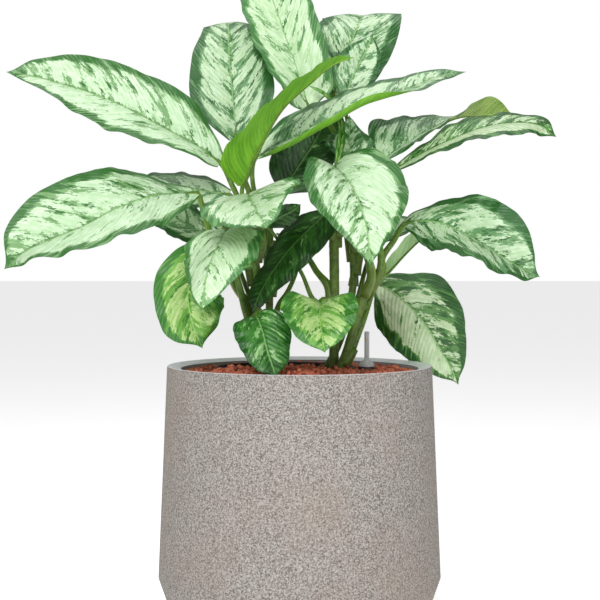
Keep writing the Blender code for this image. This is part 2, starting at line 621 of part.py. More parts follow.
def make_culture_pot():
    """A dark inner pot with slots for the water."""
    plastic = finish("dark_plastic", (0.02, 0.02, 0.02), 0.6)
    floor = POT_RIM_HEIGHT - POT_DEPTH
    profile = [
        (0, floor),
        (POT_BASE_RADIUS, floor),
        (POT_RIM_RADIUS, POT_RIM_HEIGHT),
        (POT_RIM_RADIUS - POT_WALL, POT_RIM_HEIGHT),
        (POT_BASE_RADIUS - POT_WALL, floor + POT_WALL),
        (0, floor + POT_WALL),
    ]
    pot = add_object("culture_pot", turned(profile, POT_SEGMENTS, POT_CENTRE), plastic)
    middle = floor + POT_SLOT_HEIGHT
    slots = [box(POT_SLOT_SIZE, (POT_BASE_RADIUS + POT_WALL, 0, middle), 2 * math.pi * slot / POT_SLOTS)
             for slot in range(POT_SLOTS)]
    slots = join_shapes(slots)
    bmesh.ops.translate(slots, vec=(*POT_CENTRE, 0), verts=slots.verts)
    cut(pot, "pot_slots", slots)


def make_root_ball():
    """Roots and clay inside the culture pot, with a hole for each cane."""
    roots = finish("roots_and_clay", (0.3, 0.12, 0.07), 0.9)
    floor = POT_RIM_HEIGHT - POT_DEPTH + POT_WALL
    slope = (POT_RIM_RADIUS - POT_BASE_RADIUS) / POT_DEPTH
    top_radius = POT_RIM_RADIUS - POT_WALL - ROOT_GAP - slope * (POT_RIM_HEIGHT - GRANULATE_TOP)
    profile = [
        (0, floor + CLEARANCE),
        (POT_BASE_RADIUS - POT_WALL - ROOT_GAP, floor + CLEARANCE),
        (top_radius, GRANULATE_TOP),
        (0, GRANULATE_TOP),
    ]
    ball = add_object("root_ball", turned(profile, POT_SEGMENTS, POT_CENTRE), roots)
    for name, (radius, points) in CANES.items():
        foot = points[0][2] - CANE_DEPTH - CLEARANCE
        hole = [(0, foot), (radius + CLEARANCE, foot), (radius + CLEARANCE, PLANTER_HEIGHT),
                (0, PLANTER_HEIGHT)]
        cut(ball, name + "_hole", turned(hole, GAUGE_SEGMENTS, points[0][:2]))


def make_gauge():
    """The water level gauge: guide shaft, clear tube with a bell foot, and float."""
    dark = finish("gauge_shaft_plastic", (0.05, 0.05, 0.05), 0.5)
    clear = finish("clear_plastic", (0.8, 0.82, 0.85), 0.15)
    red = finish("float_red", (0.5, 0.05, 0.02), 0.4)
    foot = FLOOR_THICKNESS + CLEARANCE
    inner = SHAFT_RADIUS - SHAFT_WALL
    shaft = [
        (0, foot),
        (SHAFT_RADIUS, foot),
        (SHAFT_RADIUS, SHAFT_TOP),
        (inner, SHAFT_TOP),
        (inner, foot + SHAFT_WALL),
        (0, foot + SHAFT_WALL),
    ]
    guide = add_object("gauge_shaft", turned(shaft, GAUGE_SEGMENTS, GAUGE_AXIS), dark)
    inlet = box(SHAFT_SLOT_SIZE, (0, 0, foot + SHAFT_SLOT_SIZE[2]))
    bmesh.ops.translate(inlet, vec=(*GAUGE_AXIS, 0), verts=inlet.verts)
    cut(guide, "shaft_inlet", inlet)
    bell_foot = SHAFT_TOP + CLEARANCE
    tube = [
        (SHAFT_RADIUS, bell_foot),
        (SHAFT_RADIUS, bell_foot + SHAFT_WALL),
        (TUBE_RADIUS, BELL_TOP),
        (TUBE_RADIUS, TUBE_TOP),
        (0, TUBE_TOP),
        (0, TUBE_TOP - SHAFT_WALL),
        (TUBE_BORE, TUBE_TOP - SHAFT_WALL),
        (TUBE_BORE, bell_foot),
    ]
    add_object("gauge_tube", turned(tube, GAUGE_SEGMENTS, GAUGE_AXIS), clear)
    float_foot = foot + SHAFT_WALL + CLEARANCE
    tip_foot = FLOAT_TIP_TOP - FLOAT_TIP_LENGTH
    float_outline = [
        (0, float_foot),
        (FLOAT_RADIUS, float_foot),
        (FLOAT_RADIUS, float_foot + FLOAT_LENGTH),
        (FLOAT_ROD_RADIUS, float_foot + FLOAT_LENGTH + FLOAT_RADIUS),
        (FLOAT_ROD_RADIUS, tip_foot),
        (FLOAT_TIP_RADIUS, tip_foot),
        (FLOAT_TIP_RADIUS, FLOAT_TIP_TOP),
        (0, FLOAT_TIP_TOP),
    ]
    add_object("gauge_float", turned(float_outline, GAUGE_SEGMENTS, GAUGE_AXIS), red)


def main():
    clear_scene()
    make_planter()
    make_granulate()
    make_culture_pot()
    make_root_ball()
    make_gauge()
    make_canes()
    make_leaves()


main()
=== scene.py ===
"""Looks of the potted chinese evergreen: grown leaves, stalks, clay pellets, planter and water gauge.

Metres, +Z up, -Y is the front. Sizes and points below are in millimetres, and MM turns them into metres.
"""
import math
import random

import bmesh
import bpy
from mathutils import Matrix, Vector


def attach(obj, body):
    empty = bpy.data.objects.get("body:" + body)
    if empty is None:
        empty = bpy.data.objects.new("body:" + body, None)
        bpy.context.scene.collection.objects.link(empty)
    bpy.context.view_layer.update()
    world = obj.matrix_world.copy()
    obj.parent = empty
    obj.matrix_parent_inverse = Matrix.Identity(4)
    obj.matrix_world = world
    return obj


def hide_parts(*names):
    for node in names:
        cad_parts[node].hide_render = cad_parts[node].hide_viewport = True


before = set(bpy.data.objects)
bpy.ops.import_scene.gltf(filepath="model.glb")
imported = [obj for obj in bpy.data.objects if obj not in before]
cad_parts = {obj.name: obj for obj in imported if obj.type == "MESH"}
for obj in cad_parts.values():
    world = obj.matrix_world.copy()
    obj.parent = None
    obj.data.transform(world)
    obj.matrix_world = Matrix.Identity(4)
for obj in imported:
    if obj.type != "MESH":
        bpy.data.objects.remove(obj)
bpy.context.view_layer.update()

MM = 0.001
PLANT = "plant"
FLOAT = "float"

CANES = {
    "cane_centre": (7.0, [(48, 6, 333), (49, 6, 430), (48, 8, 545)]),
    "cane_right": (6.5, [(53, -14, 333), (66, -13, 365), (86, -8, 430), (102, -5, 470)]),
    "cane_right_back": (5.5, [(36, 30, 333), (60, 30, 385), (76, 30, 457), (74, 32, 530)]),
    "cane_left": (5.5, [(-60, 4, 333), (-62, 4, 420), (-63, 6, 512)]),
    "cane_left_back": (5.5, [(-42, 30, 333), (-43, 30, 420), (-40, 32, 520)]),
}

FRONT = (0, -1, 0)
BACK = (0, 1, 0)
UP = (0, -0.3, 1)
SKY = (0, 0, 1)
LEAVES = {
    "leaf_left_long": dict(
        cane="cane_left", seat=(455, 180), face=FRONT,
        petiole=[(-78, 2, 520), (-84, 0, 570), (-96, 2, 600)],
        blade=[(-111, 5, 628, 10, 40, 0), (-141, 0, 649, 36, 68, -25), (-179, -5, 670, 56, 67, -5),
               (-257, -20, 710, 58, 50, -22), (-315, -30, 730, 48, 57, -15),
               (-369, -38, 744, 25, 66, -20), (-401, -42, 749, 0, 30, 0)]),
    "leaf_left_broad": dict(
        cane="cane_left", seat=(400, 165), face=FRONT,
        petiole=[(-88, 6, 450), (-112, 4, 500), (-132, -4, 550)],
        blade=[(-143, -10, 586, 8, 40, -40), (-169, -28, 583, 32, 46, -55),
               (-205, -52, 578, 52, 40, -38), (-246, -80, 561, 62, 57, -18),
               (-288, -98, 537, 68, 70, -8), (-332, -110, 518, 62, 74, -8),
               (-364, -117, 502, 41, 78, -8), (-390, -120, 480, 0, 40, 0)]),
    "leaf_left_behind": dict(
        cane="cane_left_back", seat=(430, 170), face=FRONT,
        petiole=[(-62, 36, 490), (-76, 34, 550)],
        blade=[(-99, 32, 585, 8, 15, -30), (-149, 46, 592, 34, 30, -48),
               (-199, 50, 598, 40, 20, -58), (-244, 46, 588, 30, 15, -50), (-275, 36, 570, 0, 0, 0)]),
    "leaf_left_under": dict(
        cane="cane_left", seat=(400, 95), face=FRONT,
        petiole=[(-74, 16, 450), (-92, 17, 495)],
        blade=[(-110, 13, 523, 7, 20, -20), (-153, 11, 539, 30, 40, -30),
               (-189, 5, 561, 32, 40, -30), (-231, 2, 580, 0, 0, 0)]),
    "leaf_back_left": dict(
        cane="cane_left_back", seat=(465, 120), face=FRONT,
        petiole=[(-52, 42, 540), (-80, 44, 610)],
        blade=[(-91, 45, 662, 10, 10, 10), (-92, 50, 687, 38, 10, 10), (-96, 62, 726, 61, 8, 5),
               (-102, 85, 782, 55, 8, 5), (-104, 108, 820, 42, 5, 5), (-106, 135, 842, 34, -5, -5),
               (-110, 165, 842, 24, -10, -5), (-114, 205, 815, 0, 0, 0)]),
    "leaf_crown": dict(
        cane="cane_centre", seat=(510, 60), face=FRONT,
        petiole=[(56, 18, 600), (58, 32, 650), (36, 50, 695)],
        blade=[(14, 58, 708, 8, 10, 10), (8, 63, 725, 42, 50, 0), (2, 69, 746, 50, 50, 22),
               (-6, 75, 773, 54, 42, 25), (-18, 85, 808, 56, 36, 20), (-33, 102, 854, 55, 32, 25),
               (-51, 120, 903, 47, 25, 20), (-65, 138, 938, 30, 15, 15), (-76, 152, 970, 0, 0, 0)]),
    "leaf_folded_bright": dict(
        cane="cane_left", seat=(480, 270), face=BACK,
        petiole=[(-74, -14, 541), (-79, -18, 572)],
        blade=[(-79, -22, 593, 7, 80, -20), (-72, -36, 608, 35, 86, -20), (-64, -48, 628, 45, 90, -28),
               (-50, -58, 653, 47, 92, -47), (-35, -62, 680, 46, 96, -62), (-17, -60, 704, 42, 102, -70),
               (12, -50, 730, 34, 112, -72), (45, -36, 758, 20, 118, -70), (77, -22, 772, 0, 100, -60)]),
    "leaf_front_left_top": dict(
        cane="cane_left", seat=(488, 340), face=UP,
        petiole=[(-58, -14, 550), (-66, -24, 575)],
        blade=[(-70, -45, 583, 12, 20, -5), (-68, -75, 577, 55, 25, -8), (-63, -110, 568, 70, 25, -10),
               (-55, -145, 555, 60, 32, -15), (-48, -172, 543, 35, 40, -12), (-43, -190, 532, 0, 0, 0)]),
    "leaf_across": dict(
        cane="cane_left_back", seat=(470, 250), face=FRONT,
        petiole=[(-42, 15, 540), (-64, 10, 590)],
        blade=[(-62, 5, 635, 8, -30, 50), (-36, 0, 649, 34, -43, 56), (-1, -5, 667, 44, -41, 57),
               (41, -8, 689, 46, -50, 61), (90, -3, 712, 44, -53, 68), (150, 10, 730, 34, -45, 70),
               (193, 20, 749, 20, -45, 65), (236, 28, 758, 0, -20, 30)]),
    "leaf_back_right": dict(
        cane="cane_right_back", seat=(490, 120), face=FRONT,
        petiole=[(62, 62, 600), (50, 86, 680)],
        blade=[(47, 94, 725, 8, 0, 0), (59, 100, 762, 48, 0, 0), (70, 109, 798, 60, -5, 0),
               (81, 120, 825, 62, -15, -3), (91, 142, 849, 60, -26, 14), (96, 170, 859, 56, -22, 22),
               (102, 205, 854, 40, -15, 10), (110, 245, 828, 0, 0, 0)]),
    "leaf_small_top": dict(
        cane="cane_right_back", seat=(505, 60), face=FRONT,
        petiole=[(76, 48, 600), (70, 56, 680)],
        blade=[(62, 56, 726, 7, 5, 5), (71, 59, 741, 27, 8, 8), (79, 62, 762, 33, 8, 8),
               (95, 70, 791, 24, 8, 8), (105, 80, 819, 0, 0, 0)]),
    "leaf_right_twisted": dict(
        cane="cane_right_back", seat=(470, 0), face=FRONT,
        petiole=[(92, 32, 530), (106, 30, 590)],
        blade=[(117, 34, 631, 12, -10, 75), (135, 48, 645, 56, -10, 80), (160, 58, 661, 52, -25, 82),
               (183, 66, 675, 50, -40, 82), (205, 71, 688, 47, -58, 83), (230, 75, 698, 41, -78, 90),
               (259, 75, 700, 33, -75, 122), (283, 71, 700, 26, -70, 155), (314, 66, 698, 0, -60, 120)]),
    "leaf_right_long": dict(
        cane="cane_right", seat=(452, 330), face=FRONT,
        petiole=[(112, -10, 530), (122, 0, 585)],
        blade=[(137, 1, 621, 8, -50, 60), (174, -14, 641, 30, -65, 76), (211, -26, 658, 40, -57, 75),
               (248, -34, 672, 42, -65, 73), (288, -40, 679, 38, -67, 65), (325, -44, 676, 26, -60, 62),
               (351, -46, 660, 0, 0, 0)]),
    "leaf_centre_front": dict(
        cane="cane_right", seat=(440, 270), face=UP,
        petiole=[(94, -14, 500), (84, -6, 560), (58, -2, 605)],
        blade=[(48, -22, 620, 26, 45, 30), (56, -50, 611, 51, 40, 30), (66, -80, 597, 66, 26, 17),
               (74, -106, 580, 71, 10, 10), (81, -126, 560, 64, 8, 8), (87, -141, 536, 43, 3, 0),
               (90, -150, 511, 21, 0, 0), (93, -155, 482, 0, 0, 0)]),
    "leaf_right_mid": dict(
        cane="cane_right", seat=(458, 30), face=FRONT,
        petiole=[(116, 2, 495), (133, 10, 520)],
        blade=[(148, 20, 543, 8, -40, 20), (168, 12, 547, 30, -55, 20), (196, 2, 544, 45, -41, 37),
               (225, -10, 531, 58, -10, 64), (256, -22, 512, 64, 0, 80), (286, -31, 492, 53, -10, 78),
               (310, -37, 478, 28, -20, 70), (330, -40, 469, 0, 0, 0)]),
    "leaf_right_low": dict(
        cane="cane_right", seat=(349, 20), face=FRONT,
        petiole=[(74, -4, 366), (89, 8, 405), (101, 22, 440)],
        blade=[(107, 32, 460, 8, 0, 0), (131, 45, 448, 36, 25, -42), (158, 62, 426, 62, 10, -41),
               (184, 76, 396, 60, 8, -28), (203, 86, 365, 47, 8, -20), (221, 91, 334, 25, 10, 0),
               (233, 94, 309, 0, 0, 0)]),
    "leaf_front_left": dict(
        cane="cane_left", seat=(370, 215), face=UP,
        petiole=[(-74, -7, 412), (-84, -6, 455), (-100, -8, 505), (-104, -28, 536)],
        blade=[(-99, -55, 533, 32, 10, -5), (-102, -75, 527, 56, 8, -18), (-107, -98, 515, 60, 10, -33),
               (-112, -114, 503, 61, 5, -38), (-118, -127, 486, 52, 5, -38), (-122, -137, 467, 38, 5, -38),
               (-128, -148, 425, 0, 0, 0)]),
    "leaf_low_left": dict(
        cane="cane_left", seat=(355, 275), face=FRONT,
        petiole=[(-62, -12, 410), (-60, -14, 460)],
        blade=[(-65, -14, 488, 8, 0, 0), (-108, -30, 491, 24, 0, 0), (-140, -42, 477, 42, 0, 0),
               (-152, -52, 451, 50, 15, -5), (-150, -60, 424, 48, 25, -5), (-143, -65, 399, 42, 60, -5),
               (-132, -66, 372, 0, 0, 0)]),
    "leaf_centre_dark": dict(
        cane="cane_centre", seat=(520, 260), face=FRONT,
        petiole=[(46, -6, 556)],
        blade=[(41, -10, 562, 8, 20, -40), (29, -18, 549, 28, 25, -43), (10, -27, 531, 35, 28, -44),
               (-14, -39, 506, 35, 28, -48), (-39, -46, 472, 29, 35, -55), (-56, -47, 441, 17, 45, -30),
               (-65, -45, 417, 0, 0, 0)]),
    "leaf_low_dark": dict(
        cane="cane_left", seat=(340, 345), face=UP,
        petiole=[(-49, -28, 395), (-54, -56, 424)],
        blade=[(-59, -75, 417, 15, 40, -5), (-54, -90, 408, 36, 15, 0), (-48, -104, 392, 38, 5, -5),
               (-43, -115, 373, 32, 5, -5), (-36, -123, 353, 23, 0, 0), (-31, -128, 338, 0, 0, 0)]),
    "leaf_low_front": dict(
        cane="cane_centre", seat=(380, 250), face=UP,
        petiole=[(42, -20, 425), (34, -42, 438)],
        blade=[(28, -60, 435, 22, 20, 20), (28, -82, 429, 46, 28, 28), (27, -103, 418, 55, 25, 20),
               (28, -120, 404, 50, 20, 20), (30, -132, 390, 36, 15, 15), (33, -143, 371, 0, 0, 0)]),
    "leaf_small_dark": dict(
        cane="cane_centre", seat=(400, 200), face=FRONT,
        petiole=[(18, -2, 438), (1, 0, 477), (-30, -4, 520)],
        blade=[(-44, -10, 540, 5, 20, 20), (-26, -12, 552, 17, 30, 0), (-10, -12, 560, 13, 30, 0),
               (2, -8, 570, 0, 0, 0)]),
    "leaf_behind_centre": dict(
        cane="cane_centre", seat=(430, 150), face=FRONT,
        petiole=[(24, 18, 475), (12, 20, 495), (-15, 22, 527), (-27, 25, 566)],
        blade=[(-23, 40, 588, 7, 10, 10), (-15, 46, 604, 34, 10, 10), (-1, 54, 627, 43, 10, 10),
               (18, 56, 656, 40, 10, 10), (36, 62, 689, 27, 10, 10), (47, 68, 713, 0, 0, 0)]),
    "leaf_pale_small": dict(
        cane="cane_right_back", seat=(500, 300), face=FRONT,
        petiole=[(75, 12, 590)],
        blade=[(71, 20, 632, 10, 10, 10), (71, 29, 651, 34, 10, 10), (71, 36, 664, 29, 10, 10),
               (71, 40, 677, 16, 10, 10), (71, 42, 698, 0, 0, 0)]),
    "leaf_right_under": dict(
        cane="cane_right", seat=(400, 80), face=BACK,
        petiole=[(96, 10, 430)],
        blade=[(113, 17, 463, 6, 95, -30), (129, 24, 479, 16, 95, -40), (148, 32, 499, 24, 95, -50),
               (171, 44, 520, 28, 95, -50), (201, 58, 545, 24, 90, -45), (227, 72, 564, 0, 0, 0)]),
    "leaf_right_behind": dict(
        cane="cane_right_back", seat=(410, 30), face=UP,
        petiole=[(98, 54, 490)],
        blade=[(118, 75, 518, 7, 0, 0), (150, 95, 538, 28, 8, 8), (178, 120, 546, 34, 8, 8),
               (205, 145, 544, 24, 8, 8), (232, 172, 528, 0, 0, 0)]),
    "leaf_rear_left": dict(
        cane="cane_left_back", seat=(440, 35), face=SKY,
        petiole=[(-34, 60, 490)],
        blade=[(-68, 75, 520, 8, 20, 20), (-80, 105, 533, 40, 15, 15), (-92, 145, 538, 45, 12, 12),
               (-102, 185, 528, 32, 10, 10), (-110, 225, 508, 0, 0, 0)]),
    "leaf_rear_centre": dict(
        cane="cane_left_back", seat=(390, 20), face=SKY,
        petiole=[(-29, 24, 429), (-17, 24, 447), (-5, 30, 475)],
        blade=[(0, 55, 505, 7, 15, 15), (0, 85, 518, 32, 15, 15), (1, 125, 523, 36, 12, 12),
               (3, 165, 516, 26, 10, 10), (4, 205, 498, 0, 0, 0)]),
    "leaf_rear_right": dict(
        cane="cane_right_back", seat=(455, 80), face=SKY,
        petiole=[(82, 56, 520)],
        blade=[(78, 75, 550, 8, 20, 20), (84, 110, 566, 38, 15, 15), (91, 150, 570, 45, 12, 12),
               (97, 190, 562, 32, 10, 10), (102, 235, 540, 0, 0, 0)]),
    "leaf_new": dict(
        cane="cane_centre", seat=(525, 0), face=FRONT,
        petiole=[(52, 6, 590)],
        blade=[(50, 6, 619, 4, 60, 60), (56, 10, 647, 12, 60, 60), (58, 19, 674, 12, 65, 65),
               (52, 33, 702, 9, 65, 65), (35, 43, 726, 6, 60, 60), (11, 45, 742, 0, 0, 0)]),
}


# Leaf surface: places along and across, thickness, and the wave of its margin
STALK_SIDES = 12
STALK_RINGS = 26
BLADE_STEPS = 84
HALF_STEPS = 12
BLADE_THICKNESS = 0.9
BULGE = 0.055
WAVE_HEIGHT = 0.045
WAVE_COUNT = 5.0
NIP_START = 0.9
NIP_DEPTH = 0.55
RIB_SHARE = 0.75
RIB_SINK = 0.95
SHEATH_SHARE = 0.3
SHEATH_SWELL = 0.22
SHEATH_WRAP = 1.12
STALK_TAPER = 0.35
STALK_SLIMMEST = 2.6
STALK_PER_WIDTH = 0.045
SEAT_RUN = 22.0
SEAT_LIFT = 1.5
SEAT_GAP = 0.3
ROUTE_STEPS = 10
VEIN_LEAN = 0.75
VEIN_BEND = 0.9
PATTERN_UNIT = 100.0

# Margins that roll over the upper face, left then right: where across they start, by how much they
# turn in radians, and the shares of the blade's length where they start and end
NO_CURL = (0.5, 0.0, 0.0, 1.0)
CURLS = {
    "leaf_across": (NO_CURL, (0.45, 1.7, 0.0, 0.66)),
}


def smooth_route(points, steps):
    """Read a smooth curve through points: steps places on each stretch, then the last point."""
    points = [Vector(point) for point in points]
    before = [points[0] * 2 - points[1]]
    after = [points[-1] * 2 - points[-2]]
    padded = before + points + after
    route = []
    for number in range(len(points) - 1):
        p0, p1, p2, p3 = padded[number:number + 4]
        for step in range(steps):
            t = step / steps
            route.append(0.5 * (2 * p1 + (p2 - p0) * t + (2 * p0 - 5 * p1 + 4 * p2 - p3) * t * t
                                + (3 * p1 - 3 * p2 + p3 - p0) * t * t * t))
    route.append(points[-1])
    return route


def spread(route, count):
    """Read count places, evenly spaced along a route."""
    lengths = [0.0]
    for a, b in zip(route, route[1:]):
        lengths.append(lengths[-1] + (b - a).length)
    places = []
    part = 0
    for number in range(count):
        reach = lengths[-1] * number / (count - 1)
        while part < len(route) - 2 and lengths[part + 1] < reach:
            part += 1
        mix = min((reach - lengths[part]) / (lengths[part + 1] - lengths[part]), 1.0)
        places.append(route[part].lerp(route[part + 1], mix))
    return places


def frames_along(route, front=(0, -1, 0)):
    """The direction, side and front vectors at each place of a route, with no needless twist."""
    frames = []
    front = Vector(front)
    for number in range(len(route)):
        ahead = route[min(number + 1, len(route) - 1)]
        behind = route[max(number - 1, 0)]
        along = (ahead - behind).normalized()
        if frames:
            front = frames[-1][0].rotation_difference(along) @ front
        front = (front - along * front.dot(along)).normalized()
        frames.append((along, along.cross(front), front))
    return frames


def beside_cane(name, height, angle, reach):
    """The place level with a height on a cane, at a distance square to its axis."""
    axis = smooth_route(CANES[name][1], 8)
    part = 0
    while part < len(axis) - 2 and axis[part + 1].z < height:
        part += 1
    low, high = axis[part], axis[part + 1]
    along = (high - low).normalized()
    out = Vector((math.cos(math.radians(angle)), math.sin(math.radians(angle)), 0))
    out = (out - along * out.dot(along)).normalized()
    return low.lerp(high, (height - low.z) / (high.z - low.z)) + out * reach


def stalk_radius(leaf):
    """Stalks are as thick as their leaves are wide, within limits."""
    return STALK_SLIMMEST + max(station[3] for station in leaf["blade"]) * STALK_PER_WIDTH


def blade_stations(leaf, count):
    """Evenly spaced places on the midrib, each with its half width and fold angles."""
    stations = leaf["blade"]
    midrib = smooth_route([station[:3] for station in stations], ROUTE_STEPS)
    widths = smooth_route([(station[3], 0, 0) for station in stations], ROUTE_STEPS)
    folds = smooth_route([(station[4], station[5], 0) for station in stations], ROUTE_STEPS)
    lengths = [0.0]
    for a, b in zip(midrib, midrib[1:]):
        lengths.append(lengths[-1] + (b - a).length)
    found = []
    part = 0
    for number in range(count):
        reach = lengths[-1] * number / (count - 1)
        while part < len(lengths) - 2 and lengths[part + 1] < reach:
            part += 1
        mix = min((reach - lengths[part]) / (lengths[part + 1] - lengths[part]), 1.0)
        fold = folds[part].lerp(folds[part + 1], mix)
        half = widths[part].lerp(widths[part + 1], mix).x
        found.append((midrib[part].lerp(midrib[part + 1], mix), max(half, 0.0),
                      math.radians(fold.x), math.radians(fold.y), reach))
    return found


def ease(value, low, high):
    """0 below low, 1 above high, and a smooth step between them."""
    share = min(max((value - low) / (high - low), 0.0), 1.0)
    return share * share * (3 - 2 * share)


def half_blade(width, fold, curl):
    """How far out and up a place on one half of the blade lies, for a width of 1, and the angle there."""
    start, turn = curl
    if width <= start or not turn:
        return width * math.cos(fold), width * math.sin(fold), fold
    out, up = start * math.cos(fold), start * math.sin(fold)
    pieces = 8
    stretch = (width - start) / pieces
    for piece in range(pieces):
        reach = start + stretch * (piece + 0.5)
        angle = fold + turn * (reach - start) / (1 - start)
        out += stretch * math.cos(angle)
        up += stretch * math.sin(angle)
    return out, up, fold + turn * (width - start) / (1 - start)


def blade_place(station, frame_here, across, share, skin, wave, curls):
    """A place on the blade: across runs from -1 at the left edge to 1 at the right edge."""
    place, half, left, right, reach = station
    along, side, front = frame_here
    lean = -1 if across < 0 else 1
    fold, other = (left, right) if across < 0 else (right, left)
    width = abs(across)
    half = half * (1 - NIP_DEPTH * ease(share, NIP_START, 1.0))
    start, turn, first, last = curls[0] if across < 0 else curls[1]
    turn = turn * ease(share, first - 0.08, first + 0.08) * (1 - ease(share, last - 0.12, last + 0.12))
    out, lift, angle = half_blade(width, fold, (start, turn))
    up = math.cos(angle) * front - math.sin(angle) * side * lean
    middle_up = (math.cos(fold) * front - math.sin(fold) * side * lean
                 + math.cos(other) * front + math.sin(other) * side * lean).normalized()
    up = middle_up.lerp(up, ease(width, 0.0, 0.2)).normalized()
    arch = BULGE * math.sin(math.pi * width ** 0.8)
    ripple = wave(share, lean) * width ** 3
    rise = half * (arch + ripple) + skin * (1 - width ** 6) * min(1.0, share * 12, (1 - share) * 12)
    return place + half * (out * side * lean + lift * front) + rise * up


def margin_wave(chance):
    """The gentle waves that one leaf's margins have, different on each side."""
    phases = [(chance.uniform(0, 2 * math.pi), chance.uniform(0.8, 1.25)) for turn in range(4)]

    def wave(share, lean):
        first, second = phases[:2] if lean < 0 else phases[2:]
        fade = math.sin(math.pi * min(max(share, 0.0), 1.0)) ** 0.6
        slow = math.sin(2 * math.pi * WAVE_COUNT * first[1] * share + first[0])
        quick = math.sin(2 * math.pi * WAVE_COUNT * 2.3 * second[1] * share + second[0])
        return WAVE_HEIGHT * fade * (slow + 0.35 * quick)
    return wave


def map_layers(shape):
    """The two pattern maps of a plant piece: one follows its side veins, the other its shares."""
    return [shape.loops.layers.uv.new(name) for name in ("vein_map", "share_map")]


def ringed_rod(sides, rings):
    """A straight closed rod with evenly spaced rings."""
    rod = bmesh.new()
    bmesh.ops.create_cone(rod, cap_ends=True, cap_tris=False, segments=sides,
                          radius1=1, radius2=1, depth=rings - 1)
    upright = [edge for edge in rod.edges if abs(edge.verts[0].co.z - edge.verts[1].co.z) > 0.5]
    bmesh.ops.subdivide_edges(rod, edges=upright, cuts=rings - 2)
    return rod


def take_in(shape, other):
    """Add another bmesh to this one."""
    mesh = bpy.data.meshes.new("other")
    other.to_mesh(mesh)
    other.free()
    shape.from_mesh(mesh)
    bpy.data.meshes.remove(mesh)


def blade_side(stations, frames, wave, under, offset, curls):
    """One face of the blade as a grid, moved to its place, with its pattern maps."""
    shape = bmesh.new()
    vein_map, share_map = map_layers(shape)
    bmesh.ops.create_grid(shape, x_segments=BLADE_STEPS, y_segments=2 * HALF_STEPS, size=1.0)
    skin = (-1 if under else 1) * BLADE_THICKNESS / 2
    pattern = {}
    for vertex in shape.verts:
        share = (vertex.co.x + 1) / 2
        across = math.copysign(abs(vertex.co.y) ** 0.9, vertex.co.y)
        row = round(share * BLADE_STEPS)
        station = stations[row]
        vertex.co = blade_place(station, frames[row], across, share, skin, wave, curls)
        out = across * station[1] / PATTERN_UNIT
        sweep = station[4] / PATTERN_UNIT - VEIN_LEAN * abs(out) - VEIN_BEND * out * out
        pattern[vertex] = ((sweep + offset, out), (share, (across + 1) / 2))
    for face in shape.faces:
        face.material_index = 1 if under else 0
        face.smooth = True
        for loop in face.loops:
            loop[vein_map].uv, loop[share_map].uv = pattern[loop.vert]
    if under:
        bmesh.ops.reverse_faces(shape, faces=shape.faces)
    return shape


def stalk_side(leaf, stations, frames):
    """The stalk, which runs on under the blade as its midrib and ends in the tip."""
    height, angle = leaf["seat"]
    radius = stalk_radius(leaf)
    reach = CANES[leaf["cane"]][0] + radius + SEAT_GAP
    seat = beside_cane(leaf["cane"], height, angle, reach)
    above = beside_cane(leaf["cane"], height + SEAT_RUN, angle, reach + SEAT_LIFT)
    blade = [station[0] for station in stations]
    rough = [seat, above] + [Vector(point) for point in leaf["petiole"]]
    whole = smooth_route(rough + [blade[0], blade[BLADE_STEPS // 8]], ROUTE_STEPS)
    stalk = spread(whole[:-ROUTE_STEPS], STALK_RINGS)
    stalk_frames = [(-along, -side, front) for along, side, front
                    in reversed(frames_along(stalk[::-1], frames[0][2]))]
    cane_radius = CANES[leaf["cane"]][0]
    rings = []
    for number, (place, frame_here) in enumerate(zip(stalk, stalk_frames)):
        share = number / (STALK_RINGS - 1)
        hug = 1 - ease(share, 0.0, SHEATH_SHARE)
        middle = beside_cane(leaf["cane"], place.z, angle, cane_radius * 0.25)
        place = place.lerp(middle, 0.75 * hug) if share < SHEATH_SHARE else place
        thick = radius * (1 - STALK_TAPER * share)
        thick += (cane_radius * SHEATH_WRAP - thick) * hug ** 1.5
        swell = 1 + SHEATH_SWELL * (1 - ease(share, 0.1, SHEATH_SHARE + 0.2))
        rings.append((place, frame_here, thick, swell))
    for row in range(2, BLADE_STEPS + 1, 3):
        share = row / BLADE_STEPS
        thick = radius * (1 - STALK_TAPER) * (1 - share) ** 1.1 * RIB_SHARE + 0.12
        left, right = stations[row][2], stations[row][3]
        along, side, front = frames[row]
        down = -(math.cos(left) * front + math.sin(left) * side
                 + math.cos(right) * front - math.sin(right) * side).normalized()
        sink = thick * RIB_SINK * ease(share, 0.0, 0.1)
        rings.append((stations[row][0] + down * sink, frames[row], thick, 1.0))
    shape = ringed_rod(STALK_SIDES, len(rings))
    vein_map, share_map = map_layers(shape)
    length = sum((b[0] - a[0]).length for a, b in zip(rings, rings[1:]))
    pattern = {}
    for vertex in shape.verts:
        ring = round(vertex.co.z + (len(rings) - 1) / 2)
        turn = math.atan2(vertex.co.y, vertex.co.x)
        place, (along, side, front), thick, swell = rings[ring]
        vertex.co = place + thick * (swell * math.cos(turn) * side + math.sin(turn) * front)
        travel = length * ring / len(rings) / PATTERN_UNIT
        pattern[vertex] = ((travel, abs(turn) * thick / PATTERN_UNIT), (ring / len(rings), abs(turn) / math.pi))
    for face in shape.faces:
        face.material_index = 2
        face.smooth = True
        for loop in face.loops:
            loop[vein_map].uv, loop[share_map].uv = pattern[loop.vert]
    return shape


def add_piece(name, shape, materials, body, nodes=()):
    """Turn a bmesh in millimetres into a piece that rides on a body and stands for CAD nodes."""
    bmesh.ops.scale(shape, vec=(MM, MM, MM), verts=shape.verts)
    mesh = bpy.data.meshes.new(name)
    shape.to_mesh(mesh)
    shape.free()
    for material in materials:
        mesh.materials.append(material)
    piece = bpy.data.objects.new(name, mesh)
    bpy.context.collection.objects.link(piece)
    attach(piece, body)
    if nodes:
        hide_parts(*nodes)
    return piece


